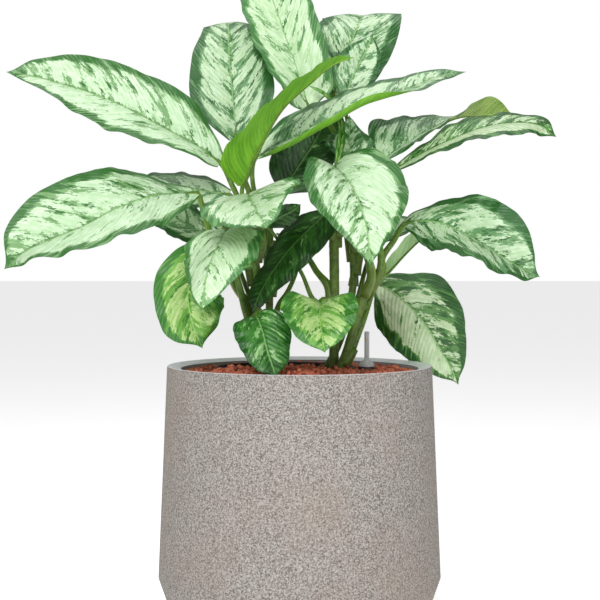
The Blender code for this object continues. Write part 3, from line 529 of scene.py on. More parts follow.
def grow_leaf(name, leaf, seed, looks):
    """One leaf: a blade with two faces that meet at its thin margin, and its stalk and midrib."""
    chance = random.Random(seed)
    stations = blade_stations(leaf, BLADE_STEPS + 1)
    frames = frames_along([station[0] for station in stations], leaf["face"])
    wave = margin_wave(chance)
    offset = chance.uniform(2, 40)
    curls = CURLS.get(name, (NO_CURL, NO_CURL))
    shape = blade_side(stations, frames, wave, False, offset, curls)
    take_in(shape, blade_side(stations, frames, wave, True, offset, curls))
    bmesh.ops.remove_doubles(shape, verts=shape.verts, dist=0.002)
    for edge in shape.edges:
        edge.smooth = len({face.material_index for face in edge.link_faces}) == 1
    take_in(shape, stalk_side(leaf, stations, frames))
    upper, lower, stalk = looks
    add_piece(name + "_grown", shape, [upper, lower, stalk], PLANT, [name])


def step(tree, kind, inputs=None, **settings):
    """Add a shader node, change its settings, and give each named input a value or a link."""
    node = tree.nodes.new("ShaderNode" + kind)
    for name, value in settings.items():
        setattr(node, name, value)
    for name, value in (inputs or {}).items():
        if isinstance(value, bpy.types.NodeSocket):
            tree.links.new(value, node.inputs[name])
        else:
            node.inputs[name].default_value = value
    return node


def number(tree, operation, first, second=0.0, third=0.0):
    """One step of arithmetic on two or three values."""
    return step(tree, "Math", {0: first, 1: second, 2: third}, operation=operation).outputs[0]


def rise(tree, value, low, high, start=0.0, end=1.0):
    """A smooth change from start to end as the value goes from low to high."""
    reach = {"Value": value, "From Min": low, "From Max": high, "To Min": start, "To Max": end}
    return step(tree, "MapRange", reach, interpolation_type="SMOOTHSTEP").outputs["Result"]


def tint(tree, share, first, second):
    """A colour between the first and the second."""
    return step(tree, "Mix", {0: share, 6: first, 7: second}, data_type="RGBA").outputs[2]


def grain(tree, place, scale, detail=2.0, roughness=0.5):
    """Soft noise from 0 to 1 at a place."""
    settings = {"Vector": place, "Scale": scale, "Detail": detail, "Roughness": roughness}
    return step(tree, "TexNoise", settings, noise_dimensions="3D").outputs["Fac"]


def place_of(tree, across, up, deep=0.0):
    """Three values as one place."""
    return step(tree, "CombineXYZ", {0: across, 1: up, 2: deep}).outputs[0]


def rgb(red, green, blue):
    """A colour as it looks on a screen, 0 to 255, as the linear colour that shaders use."""
    def linear(part):
        part = part / 255
        return part / 12.92 if part <= 0.04045 else ((part + 0.055) / 1.055) ** 2.4
    return (linear(red), linear(green), linear(blue), 1.0)


def start_group(name, inputs, outputs):
    """A node group with named inputs and outputs."""
    tree = bpy.data.node_groups.new(name, "ShaderNodeTree")
    for label, value in inputs.items():
        kind = "NodeSocketColor" if isinstance(value, tuple) else "NodeSocketFloat"
        tree.interface.new_socket(label, in_out="INPUT", socket_type=kind).default_value = value
    for label in outputs:
        kind = "NodeSocketColor" if label == "Color" else "NodeSocketFloat"
        tree.interface.new_socket(label, in_out="OUTPUT", socket_type=kind)
    return tree, tree.nodes.new("NodeGroupInput").outputs, tree.nodes.new("NodeGroupOutput").inputs


def wear_group(material, group, values):
    """Place a node group in a material with the material's own values."""
    tree = material.node_tree
    node = tree.nodes.new("ShaderNodeGroup")
    node.node_tree = group
    for name, value in values.items():
        node.inputs[name].default_value = value
    return node.outputs


def new_finish(name, roughness, specular=0.5, **values):
    """A material whose constants are set on the shader itself, and the shader's inputs."""
    material = bpy.data.materials.new(name)
    material.use_nodes = True
    shader = material.node_tree.nodes["Principled BSDF"]
    shader.inputs["Roughness"].default_value = roughness
    shader.inputs["Specular IOR Level"].default_value = specular
    for label, value in values.items():
        shader.inputs[label.replace("_", " ")].default_value = value
    return material, shader.inputs


def join_bump(material, height, strength, distance):
    """Raise the surface by a height value."""
    tree = material.node_tree
    normal = step(tree, "Bump", {"Height": height, "Strength": strength, "Distance": distance})
    tree.links.new(normal.outputs["Normal"], tree.nodes["Principled BSDF"].inputs["Normal"])


def make_variegation():
    """Pale silvery patches that streak along the side veins of a green leaf, with ragged edges."""
    inputs = dict(Pale=rgb(206, 228, 196), Shaded=rgb(180, 212, 168), Mid=rgb(120, 165, 105),
                  Deep=rgb(60, 115, 60), Rib=rgb(132, 178, 104), Cover=0.5, Margin=0.8, Lean=0.0)
    tree, given, result = start_group("variegation", inputs, ["Color", "Height", "Gloss"])
    veins = step(tree, "SeparateXYZ", {0: step(tree, "UVMap", uv_map="vein_map").outputs[0]}).outputs
    shares = step(tree, "SeparateXYZ", {0: step(tree, "UVMap", uv_map="share_map").outputs[0]}).outputs
    sweep, out = veins[0], veins[1]
    away = number(tree, "ABSOLUTE", out)
    lean = number(tree, "SIGN", out)
    edge = number(tree, "ABSOLUTE", number(tree, "MULTIPLY_ADD", shares[1], 2.0, -1.0))

    ragged = grain(tree, place_of(tree, sweep, out), 55.0, 2.0, 0.6)
    bent = number(tree, "MULTIPLY_ADD", number(tree, "SUBTRACT", ragged, 0.5), 0.05, sweep)
    streaks = grain(tree, place_of(tree, number(tree, "MULTIPLY", bent, 5.2),
                                   number(tree, "MULTIPLY", away, 2.4),
                                   number(tree, "MULTIPLY", lean, 5.0)), 1.0, 1.0, 0.5)
    blots = grain(tree, place_of(tree, number(tree, "MULTIPLY", bent, 17.0),
                                 number(tree, "MULTIPLY", away, 8.0),
                                 number(tree, "MULTIPLY", lean, 7.0)), 1.0, 2.0, 0.6)
    flecks = grain(tree, place_of(tree, number(tree, "MULTIPLY", bent, 52.0),
                                  number(tree, "MULTIPLY", away, 27.0), lean), 1.0, 2.0, 0.6)
    pattern = number(tree, "MULTIPLY_ADD", blots, 0.36, number(tree, "MULTIPLY", streaks, 0.42))
    pattern = number(tree, "MULTIPLY_ADD", flecks, 0.24, pattern)
    rim_wander = grain(tree, place_of(tree, number(tree, "MULTIPLY", sweep, 2.2), lean), 1.0, 2.0)
    rim = number(tree, "MULTIPLY_ADD", number(tree, "SUBTRACT", rim_wander, 0.5), 0.5, edge)
    push = rise(tree, number(tree, "SUBTRACT", rim, given["Margin"]), -0.12, 0.1, 0.0, 0.35)
    tip_push = rise(tree, shares[0], 0.88, 0.99, 0.0, 0.14)
    heart_push = rise(tree, away, 0.0, 0.05, 0.06, 0.0)
    cover = number(tree, "MULTIPLY_ADD", given["Lean"], lean, given["Cover"])
    total = number(tree, "SUBTRACT", number(tree, "SUBTRACT", number(tree, "SUBTRACT",
                   number(tree, "ADD", pattern, cover), push), tip_push), heart_push)
    pale_share = rise(tree, total, 0.998, 1.018)

    depth = grain(tree, place_of(tree, number(tree, "MULTIPLY", bent, 9.0),
                                 number(tree, "MULTIPLY", away, 4.0),
                                 number(tree, "MULTIPLY", lean, 9.0)), 1.0, 3.0, 0.65)
    depth = number(tree, "ADD", depth, rise(tree, total, 0.8, 1.0, -0.1, 0.04))
    green = tint(tree, rise(tree, depth, 0.42, 0.54), given["Deep"], given["Mid"])
    silver = tint(tree, rise(tree, grain(tree, place_of(tree, sweep, out), 9.0, 3.0, 0.6), 0.35, 0.68),
                  given["Shaded"], given["Pale"])
    blade = tint(tree, pale_share, green, silver)
    line = rise(tree, away, 0.005, 0.014, 0.85, 0.0)
    line = number(tree, "MULTIPLY", line, rise(tree, shares[0], 0.9, 0.99, 1.0, 0.2))
    tree.links.new(tint(tree, line, blade, given["Rib"]), result["Color"])

    vein = number(tree, "SINE", number(tree, "MULTIPLY_ADD", ragged, 0.5, number(tree, "MULTIPLY", sweep, 78.0)))
    relief = number(tree, "MULTIPLY_ADD", ragged, 0.25, number(tree, "MULTIPLY", vein, 0.3))
    relief = number(tree, "SUBTRACT", relief, rise(tree, away, 0.0, 0.03, 1.0, 0.0))
    tree.links.new(relief, result["Height"])
    tree.links.new(number(tree, "MULTIPLY_ADD", ragged, 0.2, 0.3), result["Gloss"])
    return tree


def make_underside():
    """The matt back of a leaf, with pale side veins and a paler midrib."""
    inputs = dict(Base=rgb(130, 175, 95), Shade=rgb(105, 155, 75), Vein=rgb(165, 200, 130))
    tree, given, result = start_group("leaf_underside", inputs, ["Color", "Height"])
    veins = step(tree, "SeparateXYZ", {0: step(tree, "UVMap", uv_map="vein_map").outputs[0]}).outputs
    away = number(tree, "ABSOLUTE", veins[1])
    cloud = grain(tree, place_of(tree, number(tree, "MULTIPLY", veins[0], 6.0),
                                 number(tree, "MULTIPLY", veins[1], 3.0)), 1.0, 4.0, 0.6)
    base = tint(tree, rise(tree, cloud, 0.35, 0.65), given["Base"], given["Shade"])
    wobble = grain(tree, place_of(tree, veins[0], veins[1]), 12.0, 2.0)
    wave = number(tree, "SINE", number(tree, "MULTIPLY_ADD", wobble, 1.5, number(tree, "MULTIPLY", veins[0], 78.0)))
    line = rise(tree, wave, 0.8, 1.0, 0.0, 0.5)
    middle = rise(tree, away, 0.01, 0.035, 0.8, 0.0)
    share = number(tree, "MAXIMUM", line, middle)
    tree.links.new(tint(tree, share, base, given["Vein"]), result["Color"])
    tree.links.new(number(tree, "MULTIPLY_ADD", wobble, 0.3, line), result["Height"])
    return tree


def make_fibres():
    """Fine fibres along a stalk or a cane, darker and browner towards the foot."""
    inputs = dict(Base=rgb(110, 145, 50), Shade=rgb(78, 108, 28), Rim=rgb(190, 200, 110), Foot=rgb(96, 100, 40))
    tree, given, result = start_group("stalk_fibres", inputs, ["Color", "Height"])
    veins = step(tree, "SeparateXYZ", {0: step(tree, "UVMap", uv_map="vein_map").outputs[0]}).outputs
    shares = step(tree, "SeparateXYZ", {0: step(tree, "UVMap", uv_map="share_map").outputs[0]}).outputs
    lines = grain(tree, place_of(tree, number(tree, "MULTIPLY", veins[0], 3.0),
                                 number(tree, "MULTIPLY", veins[1], 90.0)), 1.0, 3.0, 0.6)
    cloud = grain(tree, place_of(tree, veins[0], veins[1]), 14.0, 3.0, 0.6)
    blend = number(tree, "MULTIPLY_ADD", cloud, 0.5, number(tree, "MULTIPLY", lines, 0.5))
    base = tint(tree, rise(tree, blend, 0.38, 0.6), given["Shade"], given["Base"])
    turn = number(tree, "ABSOLUTE", number(tree, "SUBTRACT", shares[1], 0.5))
    keel = rise(tree, turn, 0.36, 0.46, 0.0, 0.6)
    base = tint(tree, keel, base, given["Rim"])
    foot = rise(tree, shares[0], 0.0, 0.14, 0.7, 0.0)
    tree.links.new(tint(tree, foot, base, given["Foot"]), result["Color"])
    tree.links.new(blend, result["Height"])
    return tree


def leaf_finish(name, group, roughness, bump, **values):
    """A leaf surface: its pattern from a group, a soft gloss and raised veins."""
    material, shader = new_finish(name, roughness, 0.45)
    pattern = wear_group(material, group, values)
    tree = material.node_tree
    tree.links.new(pattern["Color"], shader["Base Color"])
    if "Gloss" in pattern:
        tree.links.new(pattern["Gloss"], shader["Roughness"])
    join_bump(material, pattern["Height"], bump, 0.0014)
    return material


def make_leaf_finishes():
    """Every kind of upper face, lower face and stalk that the leaves wear."""
    upper = make_variegation()
    under = make_underside()
    fibres = make_fibres()
    return {
        "silver": leaf_finish("leaf_silver", upper, 0.4, 0.5, Cover=0.54, Margin=0.84, Lean=-0.02,
                              Mid=rgb(118, 160, 104), Deep=rgb(48, 104, 40)),
        "bright": leaf_finish("leaf_bright", upper, 0.4, 0.5, Cover=0.56, Margin=0.86,
                              Pale=rgb(208, 229, 196), Shaded=rgb(180, 212, 164),
                              Mid=rgb(112, 160, 100), Deep=rgb(64, 118, 58)),
        "green": leaf_finish("leaf_green_pale", upper, 0.4, 0.5, Cover=0.51, Margin=0.8,
                             Pale=rgb(196, 219, 186), Shaded=rgb(172, 202, 158),
                             Mid=rgb(98, 144, 92), Deep=rgb(40, 92, 38)),
        # Partly painted shade: the edged finish has a wide dark-green margin of its own, while its darker greens
        # and its Lean, which leaves the left half less pale, paint shade on that half.
        "edged": leaf_finish("leaf_dark_edged_shaded_half", upper, 0.4, 0.5, Cover=0.54, Margin=0.74, Lean=0.05,
                             Pale=rgb(196, 216, 178), Shaded=rgb(168, 194, 148),
                             Mid=rgb(84, 134, 66), Deep=rgb(30, 84, 24)),
        # Painted shade: the dark finish is a darker copy of the leaf colours, rib included, for leaves that sit in
        # the shade of others.
        "dark": leaf_finish("leaf_dark_painted_shade", upper, 0.38, 0.5, Cover=0.41, Margin=0.78,
                            Pale=rgb(132, 168, 108), Shaded=rgb(92, 136, 70),
                            Mid=rgb(44, 92, 30), Deep=rgb(16, 58, 8), Rib=rgb(84, 132, 56)),
        "lively": leaf_finish("leaf_lively", upper, 0.38, 0.5, Cover=0.45, Margin=0.84,
                              Pale=rgb(160, 200, 140), Shaded=rgb(112, 164, 90),
                              Mid=rgb(56, 118, 40), Deep=rgb(24, 84, 16), Rib=rgb(120, 170, 90)),
        "fresh": leaf_finish("leaf_fresh", upper, 0.4, 0.5, Cover=0.5, Margin=0.8,
                             Pale=rgb(184, 212, 140), Shaded=rgb(156, 192, 112),
                             Mid=rgb(104, 162, 66), Deep=rgb(56, 116, 42), Rib=rgb(150, 190, 90)),
        "back_matt": leaf_finish("leaf_back_matt", under, 0.55, 0.4,
                                 Base=rgb(148, 182, 124), Shade=rgb(118, 160, 96), Vein=rgb(172, 204, 148)),
        "back_bright": leaf_finish("leaf_back_bright", under, 0.5, 0.4,
                                   Base=rgb(110, 170, 34), Shade=rgb(84, 146, 20), Vein=rgb(158, 196, 84)),
        "back_olive": leaf_finish("leaf_back_olive", under, 0.5, 0.4,
                                  Base=rgb(128, 156, 72), Shade=rgb(98, 130, 48), Vein=rgb(166, 190, 112)),
        "stalk": leaf_finish("stalk_olive", fibres, 0.45, 0.5, Base=rgb(100, 136, 44),
                             Shade=rgb(62, 96, 20), Rim=rgb(176, 190, 96), Foot=rgb(84, 100, 34)),
        "cane": leaf_finish("cane_olive", fibres, 0.5, 0.6, Base=rgb(96, 122, 40), Shade=rgb(62, 88, 18),
                            Rim=rgb(96, 122, 40), Foot=rgb(78, 88, 30)),
    }


# The kind of upper face and lower face that each leaf has; the dark finish paints shade on leaves that sit in the
# shade of others, and the edged finish does so in part
LOOKS = {
    "leaf_left_long": ("silver", "back_matt"),
    "leaf_left_broad": ("silver", "back_matt"),
    "leaf_left_behind": ("green", "back_olive"),
    "leaf_left_under": ("green", "back_olive"),
    "leaf_back_left": ("green", "back_matt"),
    "leaf_crown": ("bright", "back_bright"),
    "leaf_folded_bright": ("bright", "back_bright"),
    "leaf_front_left_top": ("bright", "back_bright"),
    "leaf_across": ("green", "back_bright"),
    "leaf_back_right": ("green", "back_matt"),
    "leaf_small_top": ("green", "back_matt"),
    "leaf_right_twisted": ("green", "back_olive"),
    # Partly painted shade: the edged finish darkens this leaf's shaded upper half.
    "leaf_right_long": ("edged", "back_matt"),
    "leaf_centre_front": ("silver", "back_matt"),
    "leaf_right_mid": ("green", "back_olive"),
    # Partly painted shade: the edged finish again.
    "leaf_right_low": ("edged", "back_matt"),
    "leaf_front_left": ("bright", "back_matt"),
    "leaf_low_left": ("fresh", "back_olive"),
    # Painted shade: this leaf sits in shade and wears the dark finish.
    "leaf_centre_dark": ("dark", "back_olive"),
    "leaf_low_dark": ("lively", "back_olive"),
    "leaf_low_front": ("fresh", "back_olive"),
    # Painted shade: these two leaves sit in shade and wear the dark finish.
    "leaf_small_dark": ("dark", "back_olive"),
    "leaf_behind_centre": ("dark", "back_olive"),
    "leaf_pale_small": ("green", "back_matt"),
    "leaf_right_under": ("green", "back_matt"),
    "leaf_right_behind": ("green", "back_matt"),
    "leaf_rear_left": ("green", "back_matt"),
    "leaf_rear_centre": ("green", "back_matt"),
    "leaf_rear_right": ("green", "back_matt"),
    "leaf_new": ("fresh", "back_bright"),
}


def make_leaves(finishes):
    """Grow every leaf in its own looks."""
    for seed, (name, leaf) in enumerate(LEAVES.items()):
        upper, lower = LOOKS[name]
        grow_leaf(name, leaf, seed, (finishes[upper], finishes[lower], finishes["stalk"]))


def turned(profile, segments, centre=(0.0, 0.0)):
    """Spin a closed outline of (radius, height) points about the vertical through centre."""
    shape = bmesh.new()
    corners = [shape.verts.new((radius, 0, height)) for radius, height in profile]
    edges = [shape.edges.new(pair) for pair in zip(corners, corners[1:] + corners[:1])]
    bmesh.ops.spin(shape, geom=corners + edges, cent=(0, 0, 0), axis=(0, 0, 1),
                   angle=2 * math.pi, steps=segments, use_merge=True)
    bmesh.ops.remove_doubles(shape, verts=shape.verts, dist=0.001)
    bmesh.ops.dissolve_degenerate(shape, edges=shape.edges, dist=0.001)
    bmesh.ops.recalc_face_normals(shape, faces=shape.faces)
    bmesh.ops.translate(shape, vec=(*centre, 0), verts=shape.verts)
    for face in shape.faces:
        face.smooth = True
    return shape


def round_edges(shape, radius, width, segments=3):
    """Round the creases of a turned shape that lie further out than a radius from its axis."""
    creases = [edge for edge in shape.edges if len(edge.link_faces) == 2
               and edge.calc_face_angle() > math.radians(20)
               and all(math.hypot(*vertex.co.xy) > radius for vertex in edge.verts)]
    bmesh.ops.bevel(shape, geom=creases, offset=width, offset_type="OFFSET", affect="EDGES",
                    segments=segments, profile=0.5, material=-1)
    for face in shape.faces:
        face.smooth = True


# Planter
PLANTER_SEGMENTS = 144
LIP_INNER_RADIUS = 166.1
LIP_TOP = 345.0
PLANTER_OUTLINE = [
    (0, 0), (179, 0), (181, 2), (197.8, 50), (195.2, 110), (191.7, 190), (188.3, 270), (185.1, 343),
    (184.5, 344.4), (183.1, 345), (166.1, 341), (166.1, 326), (178, 69), (170, 22), (0, 22),
]


def make_stone():
    """Grey stone composite with a fine speckle, a little browner in places."""
    material, shader = new_finish("stone_speckled", 0.85, 0.3)
    tree = material.node_tree
    place = step(tree, "TexCoord").outputs["Object"]
    fine = grain(tree, place, 560.0, 2.0, 0.7)
    coarse = grain(tree, place, 330.0, 2.0, 0.6)
    cloud = grain(tree, place, 9.0, 3.0, 0.5)
    speckle = number(tree, "MULTIPLY_ADD", coarse, 0.35, number(tree, "MULTIPLY", fine, 0.65))
    light = tint(tree, rise(tree, speckle, 0.36, 0.64), rgb(92, 85, 79), rgb(178, 173, 168))
    warm = tint(tree, rise(tree, cloud, 0.4, 0.7, 0.0, 0.25), light, rgb(150, 132, 116))
    tree.links.new(warm, shader["Base Color"])
    tree.links.new(rise(tree, speckle, 0.3, 0.7, 0.95, 0.75), shader["Roughness"])
    join_bump(material, speckle, 0.5, 0.0008)
    return material


def make_lip_finish():
    """The smooth pale lip of the planter, with faint marks of handling."""
    material, shader = new_finish("lip_pale", 0.4, 0.5)
    tree = material.node_tree
    place = step(tree, "TexCoord").outputs["Object"]
    cloud = grain(tree, place, 30.0, 4.0, 0.6)
    tree.links.new(tint(tree, rise(tree, cloud, 0.3, 0.7), rgb(214, 216, 224), rgb(232, 233, 240)),
                   shader["Base Color"])
    tree.links.new(rise(tree, cloud, 0.3, 0.7, 0.5, 0.35), shader["Roughness"])
    join_bump(material, grain(tree, place, 300.0), 0.15, 0.0003)
    return material


def make_inside_finish():
    """The plain grey inner wall of the planter."""
    material, shader = new_finish("inner_wall_grey", 0.6, 0.4)
    tree = material.node_tree
    place = step(tree, "TexCoord").outputs["Object"]
    cloud = grain(tree, place, 14.0, 4.0, 0.6)
    tree.links.new(tint(tree, rise(tree, cloud, 0.3, 0.7), rgb(136, 136, 142), rgb(158, 158, 164)),
                   shader["Base Color"])
    join_bump(material, grain(tree, place, 260.0, 3.0), 0.2, 0.0004)
    return material


def make_planter():
    """The planter, with stone outside, a pale lip and a grey inner wall."""
    shape = turned(PLANTER_OUTLINE, PLANTER_SEGMENTS)
    for face in shape.faces:
        middle = face.calc_center_median()
        radius = math.hypot(middle.x, middle.y)
        if middle.z > 340.5 and radius < 184.3:
            face.material_index = 1
        elif face.normal.z > 0.9 or radius < 179 and middle.z > 22.5:
            face.material_index = 2
    bands = [edge for edge in shape.edges if len({face.material_index for face in edge.link_faces}) > 1
             or edge.calc_face_angle(0) > math.radians(35)]
    for edge in bands:
        edge.smooth = False
    add_piece("planter_turned", shape, [make_stone(), make_lip_finish(), make_inside_finish()],
              PLANT, ["planter"])


# Clay pellets
PELLET_SPACING = 5.9
PELLET_RADIUS = 3.1
PELLET_HEIGHT = 334.2
BED_RADIUS = 162.5
POT_CENTRE = (-20.0, 8.0)
POT_RIM = (94.0, 100.5)
RIM_MOUND = 7.5
GAUGE_AXIS = (96.0, 40.0)
SHAFT_RADIUS = 11.5


def make_clay():
    """Fired clay pellets: red brown, each one its own shade, with pores and pale dust."""
    material, shader = new_finish("clay_pellets", 0.9, 0.25)
    tree = material.node_tree
    shares = step(tree, "SeparateXYZ", {0: step(tree, "UVMap", uv_map="share_map").outputs[0]}).outputs
    place = step(tree, "TexCoord").outputs["Object"]
    pores = grain(tree, place, 900.0, 3.0, 0.7)
    own = tint(tree, shares[0], rgb(168, 84, 62), rgb(206, 120, 92))
    dark = tint(tree, rise(tree, shares[1], 0.88, 0.92), own, rgb(110, 62, 50))
    dusty = tint(tree, rise(tree, pores, 0.5, 0.75, 0.0, 0.55), dark, rgb(226, 168, 142))
    tree.links.new(tint(tree, rise(tree, pores, 0.32, 0.42, 0.5, 0.0), dusty, rgb(90, 44, 34)),
                   shader["Base Color"])
    join_bump(material, pores, 0.6, 0.0006)
    return material


def pellet_sites(chance):
    """Places for pellets on the bed, in close rows, clear of the canes, the gauge and the pot's rim."""
    stems = [(*points[0][:2], radius + 2.4) for radius, points in CANES.values()]
    rows = int(2 * BED_RADIUS / (PELLET_SPACING * 0.866))
    sites = []
    for row in range(rows + 1):
        for column in range(rows + 1):
            x = -BED_RADIUS + (column + 0.5 * (row % 2)) * PELLET_SPACING + chance.uniform(-1.2, 1.2)
            y = -BED_RADIUS + row * PELLET_SPACING * 0.866 + chance.uniform(-1.2, 1.2)
            from_pot = math.hypot(x - POT_CENTRE[0], y - POT_CENTRE[1])
            # The rear of the pot's rim stays bare of pellets, so the near-black pot shows there as a dark band.
            on_rim = POT_RIM[0] < from_pot < POT_RIM[1] and y > POT_CENTRE[1] - 40
            if math.hypot(x, y) > BED_RADIUS or on_rim:
                continue
            if math.hypot(x - GAUGE_AXIS[0], y - GAUGE_AXIS[1]) < SHAFT_RADIUS + 2.2:
                continue
            if any(math.hypot(x - a, y - b) < reach for a, b, reach in stems):
                continue
            near_rim = max(0.0, 1 - abs(from_pot - POT_RIM[0]) / 30)
            mound = RIM_MOUND * near_rim if y < POT_CENTRE[1] - 40 else 0.0
            height = PELLET_HEIGHT + mound + chance.uniform(-0.9, 1.1)
            sites.append((x, y, height))
            if chance.random() < 0.09 and math.hypot(x, y) < 150:
                sites.append((x + 2.6, y + 1.6, height + 4.4))
    return sites


def make_pellets():
    """Round clay pellets that cover the bed, in a left and a right piece."""
    chance = random.Random(7)
    sites = pellet_sites(chance)
    clay = make_clay()
    for name, half in (("pellets_left", [site for site in sites if site[0] < 0]),
                       ("pellets_right", [site for site in sites if site[0] >= 0])):
        bed = bmesh.new()
        for start in range(0, len(half), 60):
            batch = bmesh.new()
            share_map = batch.loops.layers.uv.new("share_map")
            for site in half[start:start + 60]:
                size = PELLET_RADIUS * chance.uniform(0.86, 1.14)
                stretch = Matrix.Diagonal((size * chance.uniform(0.92, 1.08), size, size * chance.uniform(0.86, 1.0), 1))
                turn = Matrix.Rotation(chance.uniform(0, 6.28), 4, (chance.random(), chance.random(), 1.0))
                ball = bmesh.ops.create_uvsphere(batch, u_segments=8, v_segments=6, radius=1.0,
                                                 matrix=Matrix.Translation(site) @ turn @ stretch)["verts"]
                shade = (chance.random(), chance.random())
                for face in {face for vertex in ball for face in vertex.link_faces}:
                    face.smooth = True
                    for loop in face.loops:
                        loop[share_map].uv = shade
            mesh = bpy.data.meshes.new("batch")
            batch.to_mesh(mesh)
            batch.free()
            bed.from_mesh(mesh)
            bpy.data.meshes.remove(mesh)
        add_piece(name, bed, [clay], PLANT)


# Canes
CANE_SIDES = 24
NODE_SPACING = 24.0


def make_canes(finishes):
    """Upright canes with a swollen ring at every node, cut square at the top."""
    for name, (radius, points) in CANES.items():
        chance = random.Random(name)
        foot = Vector(points[0]) - Vector((0, 0, 45))
        axis = smooth_route(points, 8)
        length = sum((b - a).length for a, b in zip(axis, axis[1:]))
        places = [foot] + spread(axis, int(length / 3.0))
        frames = frames_along(places)
        shape = ringed_rod(CANE_SIDES, len(places))
        vein_map, share_map = map_layers(shape)
        pattern = {}
        start = chance.uniform(0, NODE_SPACING)
        for vertex in shape.verts:
            ring = round(vertex.co.z + (len(places) - 1) / 2)
            turn = math.atan2(vertex.co.y, vertex.co.x)
            along, side, front = frames[ring]
            travel = max(ring - 1, 0) * 3.0
            node = math.cos(2 * math.pi * (travel + start) / NODE_SPACING)
            thick = radius * (0.97 + 0.03 * max(node, -0.4) ** 3) if ring else radius
            vertex.co = places[ring] + thick * (math.cos(turn) * side + math.sin(turn) * front)
            pattern[vertex] = ((travel / PATTERN_UNIT, abs(turn) * radius / PATTERN_UNIT),
                               (ring / len(places), abs(turn) / math.pi))
        for face in shape.faces:
            face.smooth = len(face.verts) == 4
            for loop in face.loops:
                loop[vein_map].uv, loop[share_map].uv = pattern[loop.vert]
        bmesh.ops.recalc_face_normals(shape, faces=shape.faces)
        add_piece(name + "_grown", shape, [finishes["cane"]], PLANT, [name])


# Water gauge
GAUGE_SEGMENTS = 48
TUBE_OUTLINE = [
    (11.5, 339.8), (11.5, 341.3), (9.6, 345.2), (6.4, 348.4), (3.5, 350.4), (3.5, 388.8), (3.1, 389.7),
    (2.2, 390), (0, 390), (0, 388.5), (2.4, 388.5), (2.4, 349.9), (5.6, 347.4), (8.6, 344.4), (10.3, 340.9),
    (10.3, 339.8),
]
FLOAT_OUTLINE = [
    (0, 24.1), (7.4, 24.1), (8, 24.8), (8, 83.6), (7.2, 85.2), (1.2, 92.1), (1.2, 341), (1.9, 341.4),
    (1.9, 346.6), (1.4, 347.3), (0, 347.5),
]
MARK_HEIGHTS = (378.6, 363.8)
MARK_SIZE = (3.0, 0.5, 1.3)


def make_gauge():
    """The clear tube with its bell foot, two plain marks on it and the red float inside."""
    clear, shader = new_finish("clear_plastic_tube", 0.2, 0.5, Transmission_Weight=0.45, IOR=1.3)
    tree = clear.node_tree
    place = step(tree, "TexCoord").outputs["Object"]
    haze = grain(tree, place, 120.0, 3.0)
    tree.links.new(tint(tree, haze, rgb(226, 228, 232), rgb(244, 245, 248)), shader["Base Color"])
    tree.links.new(rise(tree, haze, 0.3, 0.7, 0.1, 0.25), shader["Roughness"])
    add_piece("gauge_tube_clear", turned(TUBE_OUTLINE, GAUGE_SEGMENTS, GAUGE_AXIS), [clear], PLANT,
              ["gauge_tube"])

    red, shader = new_finish("float_red_dyed", 0.4, 0.5)
    tree = red.node_tree
    place = step(tree, "TexCoord").outputs["Object"]
    shade = grain(tree, place, 200.0, 3.0)
    tree.links.new(tint(tree, shade, rgb(176, 30, 18), rgb(214, 60, 34)), shader["Base Color"])
    join_bump(red, shade, 0.15, 0.0002)
    add_piece("gauge_float_red", turned(FLOAT_OUTLINE, GAUGE_SEGMENTS, GAUGE_AXIS), [red], FLOAT,
              ["gauge_float"])

    ink, shader = new_finish("mark_yellow", 0.5, 0.4)
    tree = ink.node_tree
    place = step(tree, "TexCoord").outputs["Object"]
    shade = grain(tree, place, 700.0, 2.0)
    tree.links.new(tint(tree, shade, rgb(226, 176, 40), rgb(244, 206, 84)), shader["Base Color"])
    marks = bmesh.new()
    for height in MARK_HEIGHTS:
        seat = Matrix.Translation((GAUGE_AXIS[0], GAUGE_AXIS[1] - 3.3, height))
        bmesh.ops.create_cube(marks, size=1.0, matrix=seat @ Matrix.Diagonal((*MARK_SIZE, 1)))
    bmesh.ops.bevel(marks, geom=marks.edges[:], offset=0.12, offset_type="OFFSET", affect="EDGES",
                    segments=2, profile=0.5, material=-1)
    add_piece("gauge_marks", marks, [ink], PLANT)


def dress_cad_nodes():
    """Finishes for the parts whose shapes stay as they are."""
    def wear(node, material):
        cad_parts[node].data.materials.clear()
        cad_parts[node].data.materials.append(material)

    for node, name, low, high, scale, rough, bump in (
            # The culture pot is near-black; the bare rear of its rim makes the dark band behind the pellets.
            ("culture_pot", "pot_near_black", rgb(24, 24, 26), rgb(42, 42, 44), 160.0, 0.5, 0.2),
            ("gauge_shaft", "shaft_dark_plastic", rgb(52, 52, 58), rgb(84, 84, 90), 200.0, 0.4, 0.2),
            ("root_ball", "roots_dark", rgb(38, 26, 20), rgb(92, 62, 44), 190.0, 0.9, 0.9),
            ("clay_granulate", "granulate_deep", rgb(66, 32, 24), rgb(136, 66, 48), 170.0, 0.9, 0.9)):
        material, shader = new_finish(name, rough, 0.3)
        tree = material.node_tree
        place = step(tree, "TexCoord").outputs["Object"]
        fine = grain(tree, place, scale, 4.0, 0.65)
        tree.links.new(tint(tree, rise(tree, fine, 0.35, 0.65), low, high), shader["Base Color"])
        tree.links.new(rise(tree, fine, 0.3, 0.7, rough + 0.08, rough - 0.08), shader["Roughness"])
        join_bump(material, fine, bump, 0.002)
        wear(node, material)


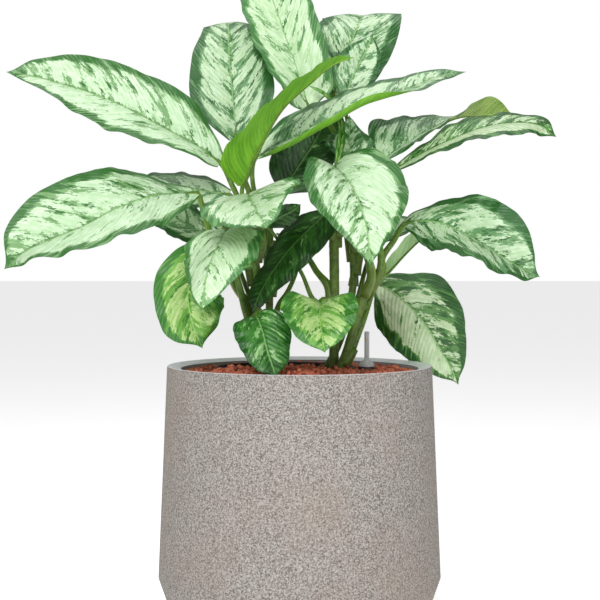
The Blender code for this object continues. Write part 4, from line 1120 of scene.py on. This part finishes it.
def set_stage():
    """A plain white floor and surroundings, soft lights and the camera of the photograph."""
    scene = bpy.context.scene
    scene.view_settings.view_transform = "Standard"
    mesh = bpy.data.meshes.new("floor")
    shape = bmesh.new()
    bmesh.ops.create_grid(shape, x_segments=1, y_segments=1, size=30.0)
    shape.to_mesh(mesh)
    shape.free()
    floor = bpy.data.objects.new("floor", mesh)
    scene.collection.objects.link(floor)
    pale, shader = new_finish("floor_white", 0.9, 0.2)
    shader["Base Color"].default_value = (0.93, 0.93, 0.93, 1)
    shader["Emission Color"].default_value = (1, 1, 1, 1)
    shader["Emission Strength"].default_value = 0.55
    mesh.materials.append(pale)

    world = bpy.data.worlds.new("white_room")
    world.use_nodes = True
    scene.world = world
    tree = world.node_tree
    tree.nodes.clear()
    seen = step(tree, "LightPath").outputs["Is Camera Ray"]
    strength = number(tree, "MULTIPLY_ADD", seen, 1.0 - ROOM_LIGHT, ROOM_LIGHT)
    room = step(tree, "Background", {"Color": (1, 1, 1, 1), "Strength": strength})
    step(tree, "OutputWorld", {"Surface": room.outputs[0]})

    for name, place, aim, size, power in LIGHTS:
        lamp = bpy.data.lights.new(name, "AREA")
        lamp.shape = "RECTANGLE"
        lamp.size, lamp.size_y = size
        lamp.energy = power
        thing = bpy.data.objects.new(name, lamp)
        thing.location = place
        thing.rotation_euler = (Vector(aim) - Vector(place)).to_track_quat("-Z", "Y").to_euler()
        scene.collection.objects.link(thing)

    lens = bpy.data.cameras.new("camera")
    lens.sensor_width = 36.0
    lens.lens = 90.0
    camera = bpy.data.objects.new("camera", lens)
    camera.location = (0.0006, -2.1, 0.495)
    camera.rotation_euler = Vector((0, 2.1, -0.059)).to_track_quat("-Z", "Y").to_euler()
    scene.collection.objects.link(camera)
    scene.camera = camera


ROOM_LIGHT = 0.3
LIGHTS = (
    ("key", (-0.7, -2.6, 2.2), (0, 0, 0.45), (1.4, 1.4), 62.0),
    ("fill", (1.2, -2.6, 1.0), (0, 0, 0.45), (1.4, 1.4), 18.0),
    ("top", (0.0, 0.4, 2.6), (0, 0, 0.6), (1.4, 1.4), 20.0),
)


def main():
    set_stage()
    finishes = make_leaf_finishes()
    make_leaves(finishes)
    make_canes(finishes)
    make_planter()
    make_pellets()
    make_gauge()
    dress_cad_nodes()


main()
